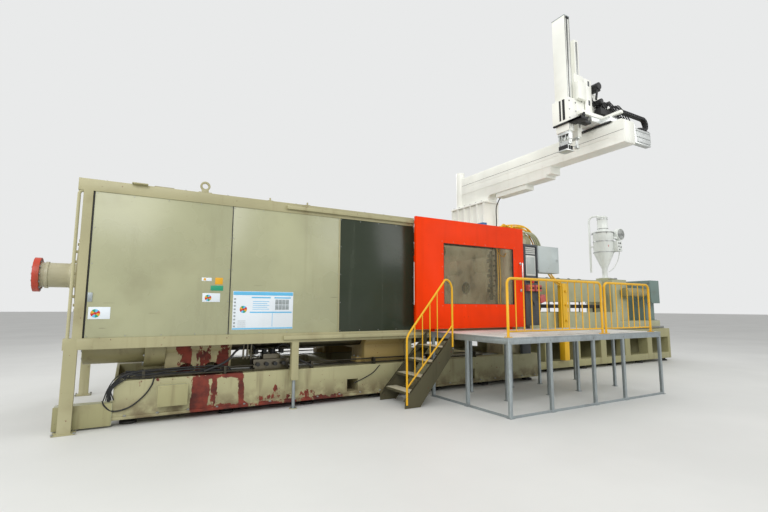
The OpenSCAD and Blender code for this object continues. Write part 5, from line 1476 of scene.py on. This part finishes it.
@dataclass
class Dryer(Assembly):
    """The hopper dryer with its loader, blower and gate."""

    x: float = 5.60
    cone_top: float = 3.33
    top: float = 3.99

    def build(self) -> None:
        """Dresses the dryer and adds its bands, knobs and tag."""
        self.skin("hopper_body", DRYER, 0.001, 40.0)
        self.skin("hopper_lid", DRYER, 0.002, 40.0)
        self.skin("hopper_blower", DRYER, 0.003)
        self.skin("slide_gate", STEEL, 0.001)
        bands = Shape()
        for z in (self.cone_top + 0.02, self.cone_top + 0.36, self.top - 0.03):
            bands.ring((0.289, 0.300), (-0.012, 0.012), (self.x, 0, z), Axis.Z, 56)
        self.add(bands, "dryer_bands", "slide_gate", STEEL, "injection_unit")
        dial = Shape()
        for i, (dx, z) in enumerate(((0.16, 3.62), (0.24, 3.62), (0.16, 3.52), (0.27, 3.5), (0.2, 3.42))):
            dial.rod((self.x + dx, -0.40, z), (self.x + dx, -0.412, z), 0.018 + 0.006 * (i == 1), sides=18)
        self.add(dial, "dryer_knobs", "cable_chain", BLACK, "injection_unit")
        spot = Shape().box((self.x - 0.14, -0.262, 3.50), (self.x - 0.09, -0.256, 3.56), 0.001)
        self.add(spot, "dryer_tag", "emergency_stop", RED, "injection_unit")
        self.air()

    def air(self) -> None:
        """Adds the loader's hose, the blower's grille and the duct."""
        hose = Shape()
        hose.swept(
            [
                (5.4, 0.33, 4.25), (5.4, 0.32, 4.40), (5.43, 0.26, 4.50), (5.5, 0.12, 4.52),
                (5.56, 0.03, 4.50),
            ],
            0.03, 14,
        )
        self.add(hose, "loader_hose", "hopper_lid", DRYER, "hopper_lid")
        fan = Shape()
        for i in range(7):
            r = 0.03 + i * 0.022
            fan.ring((r, r + 0.006), (0.0, 0.008), (6.05, -0.318, 3.93), Axis.Y, lined=True)
        fan.box((6.04, -0.32, 3.76), (6.06, -0.31, 4.10), 0.002)
        fan.box((5.88, -0.32, 3.92), (6.22, -0.31, 3.94), 0.002)
        self.add(fan, "blower_grille", "slide_gate", STEEL, "injection_unit")
        duct = Shape()
        duct.swept(
            [
                (6.05, -0.02, 3.93), (6.06, 0.12, 3.9), (6.06, 0.2, 3.72), (6.0, 0.22, 3.4),
                (5.88, 0.16, 3.1), (5.76, 0.06, 2.98),
            ],
            0.045, 16,
        )
        duct.swept(
            [
                (6.02, -0.24, 3.76), (6.03, -0.26, 3.6), (5.98, -0.24, 3.2), (5.86, -0.16, 2.9),
                (5.72, -0.06, 2.75),
            ],
            0.014, 10,
        )
        self.add(duct, "dryer_duct", "hopper_body", DRYER, "injection_unit")
        self.lid()

    def lid(self) -> None:
        """Adds the latches of the lid and the bands of the loader."""
        latches = Shape()
        for a in (0.9, 2.2, 4.1, 5.4):
            c, s = math.cos(a), math.sin(a)
            latches.rod(
                (self.x + 0.316 * c, 0.316 * s, self.top - 0.07),
                (self.x + 0.316 * c, 0.316 * s, self.top - 0.015), 0.012, sides=12,
            )
        self.add(latches, "lid_latches", "slide_gate", STEEL, "injection_unit")
        loader = Shape()
        for z in (4.10, 4.40):
            loader.ring((0.149, 0.159), (-0.01, 0.01), (self.x, 0, z), Axis.Z)
        loader.box((5.72, -0.05, 4.2), (5.80, 0.05, 4.34), 0.004)
        self.add(loader, "loader_bands", "slide_gate", STEEL, "hopper_lid")


@dataclass
class Robot(Assembly):
    """The take-out robot: pedestal, beam, carriages and arms."""

    beam_high: float = 5.02
    crease: float = 4.83
    end: float = -4.05

    def build(self) -> None:
        """Dresses the robot and adds its fittings."""
        self.skins(
            ("robot_pedestal", WHITE, 0.004), ("robot_beam", WHITE, 0.005), ("traverse_carriage", ALU, 0.003),
            ("cable_chain", BLACK, 0.0015), ("kick_slide", WHITE, 0.004), ("main_arm", WHITE, 0.003),
            ("inner_arm", ALU, 0.002), ("wrist", ALU, 0.002), ("runner_arm", WHITE, 0.003),
        )
        self.base_fittings()
        self.arm_fittings()

    def base_fittings(self) -> None:
        """Adds the pedestal's bolts, a cable, the dark lines of painted shade along the beam's crease, the
        rack and the end plate.
        """
        bolts = Shape()
        for y in spaced(-0.44, 0.63, 6):
            for x in (0.175, 0.625):
                bolts.hexes([(x, y, 4.23), (x, y, 3.39)], Axis.Z, 0.018, 0.02)
        self.add(bolts, "pedestal_bolts", "bed_ways", STEEL)
        crease_shade_and_cable = Shape()
        # Black lines along the beam's crease: painted shade in the crease.
        for x in (0.2993, 0.6207):
            crease_shade_and_cable.box((x - 0.0015, -4.04, self.crease), (x + 0.0015, 0.5, self.crease + 0.006), 0.0004)
        crease_shade_and_cable.swept(
            [
                (0.46, -0.8, 4.29), (0.46, -0.72, 4.2), (0.5, -0.6, 4.05), (0.53, -0.57, 3.7),
                (0.5, -0.56, 3.42),
            ],
            0.012, 10,
        )
        self.add(crease_shade_and_cable, "beam_crease_shade_and_cable", "cable_chain", BLACK)
        rack = Shape()
        for i in range(150):
            y = -4.0 + i * 0.03
            rack.box((0.45, y, self.beam_high - 0.001), (0.48, y + 0.014, self.beam_high + 0.014), 0)
        self.add(rack, "beam_rack", "bed_ways", STEEL)
        plate = Shape().box((0.318, self.end - 0.004, 4.62), (0.602, self.end + 0.001, 5.0), 0.002)
        self.add(plate, "beam_end_plate", "robot_beam", WHITE)

    def arm_fittings(self) -> None:
        """Adds the rails, belt and cap of the arms, and what the moving parts carry."""
        rail = Shape()
        rail.box((-0.425, -3.508, 4.98), (-0.395, -3.4995, 7.05), 0.002)
        for x in (-0.475, -0.358):
            rail.box((x, -3.506, 4.86), (x + 0.013, -3.4995, 7.09), 0.001)
        self.add(rail, "main_arm_rail", "bed_ways", STEEL, "main_arm")
        belt = Shape().box((-0.437, -3.5025, 4.98), (-0.427, -3.4995, 7.06), 0)
        belt.rod((-0.445, -3.5, 7.055), (-0.375, -3.5, 7.055), 0.022, sides=24)
        self.add(belt, "main_arm_belt", "cable_chain", BLACK, "main_arm")
        cap = Shape().box((-0.485, -3.505, 7.088), (-0.335, -3.215, 7.102), 0.003)
        self.add(cap, "main_arm_cap", "platform_frame", ZINC, "main_arm")
        side = Shape().box((-0.163, -3.486, 5.0), (-0.117, -3.4795, 6.66), 0.002)
        self.add(side, "runner_arm_rail", "bed_ways", STEEL, "runner_arm")
        self.hands()

    def hands(self) -> None:
        """Adds the plates, jaws and gripper at the arms' low ends."""
        plates = Shape()
        for y in (-3.475, -3.40, -3.325, -3.255):
            plates.box((-0.465, y - 0.007, 4.70), (-0.355, y + 0.007, 4.838), 0.002)
        plates.box((-0.475, -3.485, 4.79), (-0.345, -3.245, 4.815), 0.003)
        self.add(plates, "arm_end_plates", "inner_arm", ALU, "inner_arm")
        jaw = Shape()
        for x in (-0.495, -0.43, -0.365):
            jaw.box((x, -3.45, 4.5005), (x + 0.035, -3.27, 4.585), 0.003)
        self.add(jaw, "wrist_jaws", "cable_chain", BLACK, "wrist")
        tip = Shape()
        tip.box((-0.185, -3.46, 4.76), (-0.095, -3.26, 4.795), 0.004)
        for x in (-0.16, -0.12):
            tip.rod((x, -3.40, 4.76), (x, -3.40, 4.62), 0.014, sides=16)
        tip.box((-0.18, -3.43, 4.58), (-0.10, -3.37, 4.63), 0.003)
        self.add(tip, "runner_gripper", "wrist", ALU, "runner_arm")
        self.kick_parts()

    def kick_parts(self) -> None:
        """Adds the guides, hood, motors and bolts of the kick slide."""
        slots = Shape()
        for y0, y1 in ((-3.375, -3.335), (-3.46, -3.405)):
            slots.box((-0.5212, y0, 5.045), (-0.5195, y1, 5.44), 0.0005)
        slots.box((-0.53, -3.77, 4.972), (-0.486, -3.19, 4.9995), 0.003)
        slots.box((-0.53, -3.77, 4.972), (-0.30, -3.512, 4.9995), 0.003)
        slots.box((-0.30, -3.66, 4.985), (-0.06, -3.54, 5.03), 0.003)
        slots.box((-0.28, -3.62, 5.03), (-0.10, -3.55, 5.13), 0.004)
        slots.rod((-0.19, -3.60, 5.13), (-0.19, -3.60, 5.20), 0.03, sides=20)
        self.add(slots, "kick_guides", "cable_chain", BLACK, "kick")
        hood = Shape().box((0.17, -3.44, 5.2505), (0.86, -3.36, 5.80), 0.004)
        hood.cut((0.86, 0, 5.60), (0.35, 0, 1.0))
        hood.box((0.14, -3.52, 5.2505), (0.165, -3.28, 5.93), 0.003)
        hood.box((-0.035, -3.545, 5.25), (0.16, -3.525, 5.93), 0.003)
        self.add(hood, "kick_hood", "kick_slide", WHITE, "kick")
        gaps = Shape()
        for z in (5.42, 5.80):
            gaps.box((0.055, -3.5465, z), (0.105, -3.5445, z + 0.10), 0.0005)
        self.add(gaps, "kick_ports", "cable_chain", DARK, "kick")
        motor = Shape()
        motor.rod((0.30, -3.62, 5.84), (0.30, -3.44, 5.84), 0.068, sides=28)
        motor.box((0.235, -3.60, 5.755), (0.365, -3.445, 5.80), 0.006)
        motor.rod((0.26, -3.60, 5.76), (0.24, -3.58, 5.56), 0.02, sides=12)
        drums = (
            (0.36, 5.55, 0.05), (0.48, 5.50, 0.065), (0.60, 5.56, 0.04), (0.72, 5.46, 0.055),
            (0.86, 5.40, 0.05),
        )
        for i, (x, z, r) in enumerate(drums):
            motor.rod((x, -3.62 + 0.02 * (i % 2), z), (x, -3.445, z), r, sides=24)
        motor.box((0.34, -3.60, 5.30), (0.92, -3.46, 5.43), 0.008)
        motor.box((0.62, -3.66, 5.2505), (1.02, -3.46, 5.33), 0.008)
        for i in range(6):
            x = 0.40 + i * 0.09
            motor.swept(
                [
                    (x, -3.55, 5.43), (x + 0.02, -3.60, 5.52 + 0.03 * (i % 3)), (x + 0.12, -3.64, 5.50),
                    (x + 0.22, -3.66, 5.40), (x + 0.30, -3.67, 5.31),
                ],
                0.011, 8, 5,
            )
        for low, high, radius in ((5.58, 5.66, 0.06), (5.28, 5.31, 0.085)):
            motor.rod((0.11, -3.36, low), (0.11, -3.36, high), radius, sides=28)
        motor.swept(
            [(0.16, -3.40, 5.6), (0.26, -3.44, 5.62), (0.36, -3.5, 5.54), (0.42, -3.52, 5.44)], 0.012, 10
        )
        motor.swept(
            [
                (-0.02, -3.34, 5.90), (0.06, -3.42, 5.92), (0.16, -3.48, 5.8), (0.24, -3.5, 5.6),
                (0.3, -3.5, 5.42),
            ],
            0.01, 10,
        )
        self.add(motor, "kick_motors", "cable_chain", BLACK, "kick")
        bolts = Shape()
        bolts.hexes(
            [(x, -3.54, z) for x in (-0.50, -0.32) for z in (5.06, 5.22, 5.38)], Axis.Y, 0.012, 0.012, -1
        )
        bolts.hexes([(-0.12, -3.52, z) for z in (5.15, 5.45, 5.75)], Axis.Y, 0.01, 0.01, -1)
        bolts.hexes([(x, y, 5.2506) for x in (0.05, 0.7) for y in (-3.58, -3.34)], Axis.Z, 0.012, 0.012)
        self.add(bolts, "kick_bolts", "bed_ways", STEEL, "kick")
        box = Shape().box((-0.30, -3.60, 5.46), (-0.07, -3.521, 5.80), 0.006)
        self.add(box, "kick_cover", "robot_beam", WHITE, "kick")
        self.traverse_parts()

    def traverse_parts(self) -> None:
        """Adds the motor and wipers of the traverse carriage."""
        drive = Shape()
        drive.rod((0.56, -3.22, 5.38), (0.56, -3.22, 5.45), 0.055, sides=28)
        drive.box((0.95, -3.62, 5.1503), (1.25, -3.30, 5.19), 0.004)
        drive.box((0.262, -3.82, 5.0335), (0.30, -3.14, 5.0598), 0.003)
        drive.box((1.02, -3.955, 4.9852), (1.28, -3.945, 5.0), 0.001)
        self.add(drive, "traverse_motor", "cable_chain", BLACK, "traverse")


@dataclass
class Platform(Assembly):
    """The operator platform with its stair and railings."""

    deck: float = 1.173
    columns: tuple[float, ...] = (-2.265, -1.37, -0.29, 0.55, 1.725)
    rows: tuple[float, ...] = (-3.631, -2.678, -1.725)

    def build(self) -> None:
        """Dresses the platform and adds its bolts."""
        # The stair's finish carries painted shade.
        self.skins(
            ("platform_frame", ZINC, 0.002), ("platform_deck", DECK, 0.002), ("railings", YELLOW, 0.0),
            ("stair", STAIR_AND_SHADE, 0.002),
        )
        self.handrail()
        bolts = Shape()
        for x in self.columns:
            for y in self.rows:
                bolts.hexes(
                    [(x + 0.035, y + 0.035, 0.008), (x - 0.035, y - 0.035, 0.008)], Axis.Z, 0.007, 0.007
                )
        for x in (-2.235, 0.05, 0.15, 1.53):
            for dx in (-0.033, 0.033):
                bolts.hexes(
                    [(x + dx, -3.596 - 0.03, self.deck + 0.01), (x + dx, -3.596 + 0.03, self.deck + 0.01)],
                    Axis.Z, 0.006, 0.007,
                )
        bolts.hexes([(x, -3.656, 1.113) for x in self.columns], Axis.Y, 0.009, 0.009, -1)
        bolts.hexes([(-2.31, -2.361, z) for z in (0.92, 1.05)], Axis.Y, 0.012, 0.012, -1)
        self.add(bolts, "platform_bolts", "bed_ways", STEEL)
        self.deck_parts()

    def deck_parts(self) -> None:
        """Adds the deck's edges and the stair's treads."""
        edge = Shape()
        edge.box((-2.292, -3.66, 1.150), (1.752, -3.655, 1.176), 0.0015)
        edge.box((-2.294, -3.66, 1.150), (-2.2895, -1.70, 1.176), 0.0015)
        for x in spaced(-1.28, 0.74, 3):
            edge.box((x - 0.004, -3.65, self.deck - 0.0005), (x + 0.004, -1.705, self.deck + 0.0012), 0)
        self.add(edge, "deck_edges", "platform_frame", ZINC)
        treads = Shape()
        for i in range(1, 5):
            z = i * 0.2346
            x = max(-3.30 + (z - 0.12) / 1.053 * 1.01 - 0.01, -3.295)
            for k in range(6):
                treads.box(
                    (x + 0.02 + k * 0.034, -2.34, z - 0.0003), (x + 0.034 + k * 0.034, -1.565, z + 0.0032),
                    0.001,
                )
            treads.box((x + 0.008, -2.335, z - 0.0003), (x + 0.222, -1.57, z + 0.0018), 0.0006)
        self.add(treads, "tread_bars", "stair", TREAD)

    def handrail(self) -> None:
        """Stands a tube with smooth bends in for the stair's handrail."""
        y, foot_x, head_x = -2.3776, -3.27, -2.33
        tube = Shape()
        slope = (2.073 - 1.15) / (-2.50 - foot_x)
        up = Vector((1.0, 0.0, slope)).normalized()
        low, high = Vector((foot_x, y, 1.15)), Vector((-2.47, y, 1.15 + slope * (-2.47 - foot_x)))
        path = [
            Vector((foot_x, y, 0.06)), Vector((foot_x, y, 0.6)), low - Vector((0, 0, 0.09)),
            low + up * 0.03 - Vector((0, 0, 0.02)), low + up * 0.12,
        ]
        path += [
            low.lerp(high, 0.5), high - up * 0.12, high - Vector((0, 0, 0.008)), Vector((-2.385, y, 2.07)),
            Vector((-2.338, y, 1.985)), Vector((head_x, y, 1.87)), Vector((head_x, y, 1.4)),
            Vector((head_x, y, 0.943)),
        ]
        tube.swept([tuple(p) for p in path], 0.017, 16, 5)
        drop = 1.0457
        tube.rod((foot_x, y, 0.33), (head_x, y, 0.33 + (head_x - foot_x) * drop), 0.014, sides=16)
        for i in range(1, 5):
            x = foot_x + i * (-2.50 - foot_x) / 5
            tube.rod((x, y, 0.33 + (x - foot_x) * drop), (x, y, 1.15 + (x - foot_x) * slope), 0.009, sides=12)
        made = self.add(tube, "handrail_tube", "stair_handrail", YELLOW)
        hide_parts("stair_handrail")


@dataclass
class Power(Assembly):
    """The oil tank with its pump motors."""

    rows: tuple[float, ...] = (0.92, 1.23, 1.54)

    def build(self) -> None:
        """Dresses the tank and adds the pump motors' fins."""
        self.skin("oil_tank", TANK, 0.004)
        fins = Shape()
        for y in self.rows:
            fins.fins(2.54, 3.1, (y, 1.0), 0.121, 18, 0.006)
            fins.box((2.75, y - 0.06, 1.11), (2.92, y + 0.06, 1.17), 0.006)
        self.add(fins, "pump_motor_fins", "oil_tank", BLUE)
        self.pipes()

    def pipes(self) -> None:
        """Adds the pumps' pipes and the oil gauge."""
        pipes = Shape()
        for y in self.rows:
            pipes.swept(
                [
                    (3.5, y, 1.06), (3.5, y, 1.22), (3.56, y, 1.3), (3.8, y, 1.32), (4.02, y, 1.28),
                    (4.06, y, 1.1),
                ],
                0.03, 14,
            )
        pipes.rod((2.42, 1.6, 0.82), (2.42, 1.6, 0.9), 0.06)
        pipes.rod((4.9, 1.2, 0.4), (4.93, 1.2, 0.4), 0.09)
        self.add(pipes, "pump_pipes", "tie_bars", OILY)
        gauge = Shape().box((3.55, 1.75, 0.45), (3.60, 1.762, 0.68), 0.003)
        self.add(gauge, "oil_gauge", "front_door_fittings", ALU)


@dataclass
class Studio:
    """The camera, the floor and the light."""

    eye: Point = (-7.25, -8.561, 1.62)
    focal_px: float = 443.94
    width_px: int = 768
    yaw: float = 29.81
    pitch: float = 6.597
    roll: float = 0.2306
    sensor_mm: float = 36.0

    def camera(self) -> None:
        """Sets the camera where the photograph was taken."""
        yaw, pitch, roll = (math.radians(a) for a in (self.yaw, self.pitch, self.roll))
        ahead = Vector((math.sin(yaw) * math.cos(pitch), math.cos(yaw) * math.cos(pitch), math.sin(pitch)))
        right = Vector((math.cos(yaw), -math.sin(yaw), 0))
        up = right.cross(ahead)
        right, up = right * math.cos(roll) + up * math.sin(roll), up * math.cos(roll) - right * math.sin(roll)
        data = bpy.data.cameras.new("camera")
        data.sensor_width = self.sensor_mm
        data.lens = self.focal_px / self.width_px * self.sensor_mm
        data.clip_start, data.clip_end = 0.05, 400
        made = linked("camera", data)
        turn = Matrix((right, up, -ahead)).transposed().to_4x4()
        made.matrix_world = Matrix.Translation(self.eye) @ turn
        bpy.context.scene.camera = made

    def floor(self) -> None:
        """Lays the pale floor."""
        part = bmesh.new()
        bmesh.ops.create_grid(part, x_segments=1, y_segments=1, size=150)
        mesh = bpy.data.meshes.new("floor")
        part.to_mesh(mesh)
        part.free()
        graph = Graph("floor_plain")
        tone = graph.span(graph.noise(0.35, 4), 0.3, 0.7)
        graph.feed("Base Color", graph.mix(tone, linear("cfd0cd"), linear("d6d7d4")))
        graph.feed("Roughness", 0.55)
        mesh.materials.append(graph.material)
        made = linked("floor", mesh)
        made.location.z = -0.0005

    def lamp(self, name: str, spot: Point, aim: Point, size: float, power: float) -> None:
        """Hangs a square soft lamp.

        Args:
            name: its name.
            spot: where it hangs.
            aim: the point that it faces.
            size: its side.
            power: its power in watts.
        """
        data = bpy.data.lights.new(name, "AREA")
        data.shape = "SQUARE"
        data.size = size
        data.energy = power
        made = linked(name, data)
        made.location = spot
        made.rotation_mode = "QUATERNION"
        made.rotation_quaternion = (Vector(aim) - Vector(spot)).to_track_quat("-Z", "Y")

    def light(self) -> None:
        """Sets the world and hangs the lamps."""
        world = bpy.data.worlds.new("studio")
        bpy.context.scene.world = world
        world.use_nodes = True
        tree = world.node_tree
        tree.nodes.clear()
        out = tree.nodes.new("ShaderNodeOutputWorld")
        mix = tree.nodes.new("ShaderNodeMixShader")
        dim = tree.nodes.new("ShaderNodeBackground")
        dim.inputs[0].default_value = (1.0, 1.0, 1.0, 1.0)
        dim.inputs[1].default_value = 0.62
        pale = tree.nodes.new("ShaderNodeBackground")
        pale.inputs[0].default_value = linear("e9eaea")
        pale.inputs[1].default_value = 1.0
        path = tree.nodes.new("ShaderNodeLightPath")
        seen = tree.nodes.new("ShaderNodeMath")
        seen.operation = "MAXIMUM"
        tree.links.new(path.outputs["Is Camera Ray"], seen.inputs[0])
        tree.links.new(path.outputs["Is Transmission Ray"], seen.inputs[1])
        tree.links.new(seen.outputs[0], mix.inputs[0])
        tree.links.new(dim.outputs[0], mix.inputs[1])
        tree.links.new(pale.outputs[0], mix.inputs[2])
        tree.links.new(mix.outputs[0], out.inputs["Surface"])
        self.lamp("key_lamp", (-11.0, -15.0, 12.0), (-1.5, 0.0, 2.0), 10.0, 1500)
        self.lamp("left_lamp", (-16.0, -2.0, 7.0), (0.0, 0.0, 3.0), 6.0, 500)
        self.lamp("fill_lamp", (8.0, -13.0, 9.0), (1.0, -1.0, 2.0), 8.0, 500)
        self.lamp("top_lamp", (0.0, 1.5, 15.0), (0.0, 0.0, 1.0), 12.0, 500)
        self.lamp("back_lamp", (1.0, 14.0, 9.0), (0.0, 0.0, 2.5), 8.0, 600)


def main() -> None:
    """Builds the scene in order and reports each piece."""
    logging.basicConfig(level=logging.INFO, format="%(message)s")
    studio = Studio()
    studio.camera()
    groups: list[Assembly] = [
        Hoses(), Beds(), Clamp(), Covers(), Doors(), Operator(), Injection(), Dryer(), Robot(), Platform(),
        Power(),
    ]
    for group in groups:
        group.build()
        LOG.info("%s: %d pieces", type(group).__name__, len(group.made))
    studio.floor()
    studio.light()
    bpy.context.scene.view_settings.view_transform = "Standard"


if __name__ == "__main__":
    main()
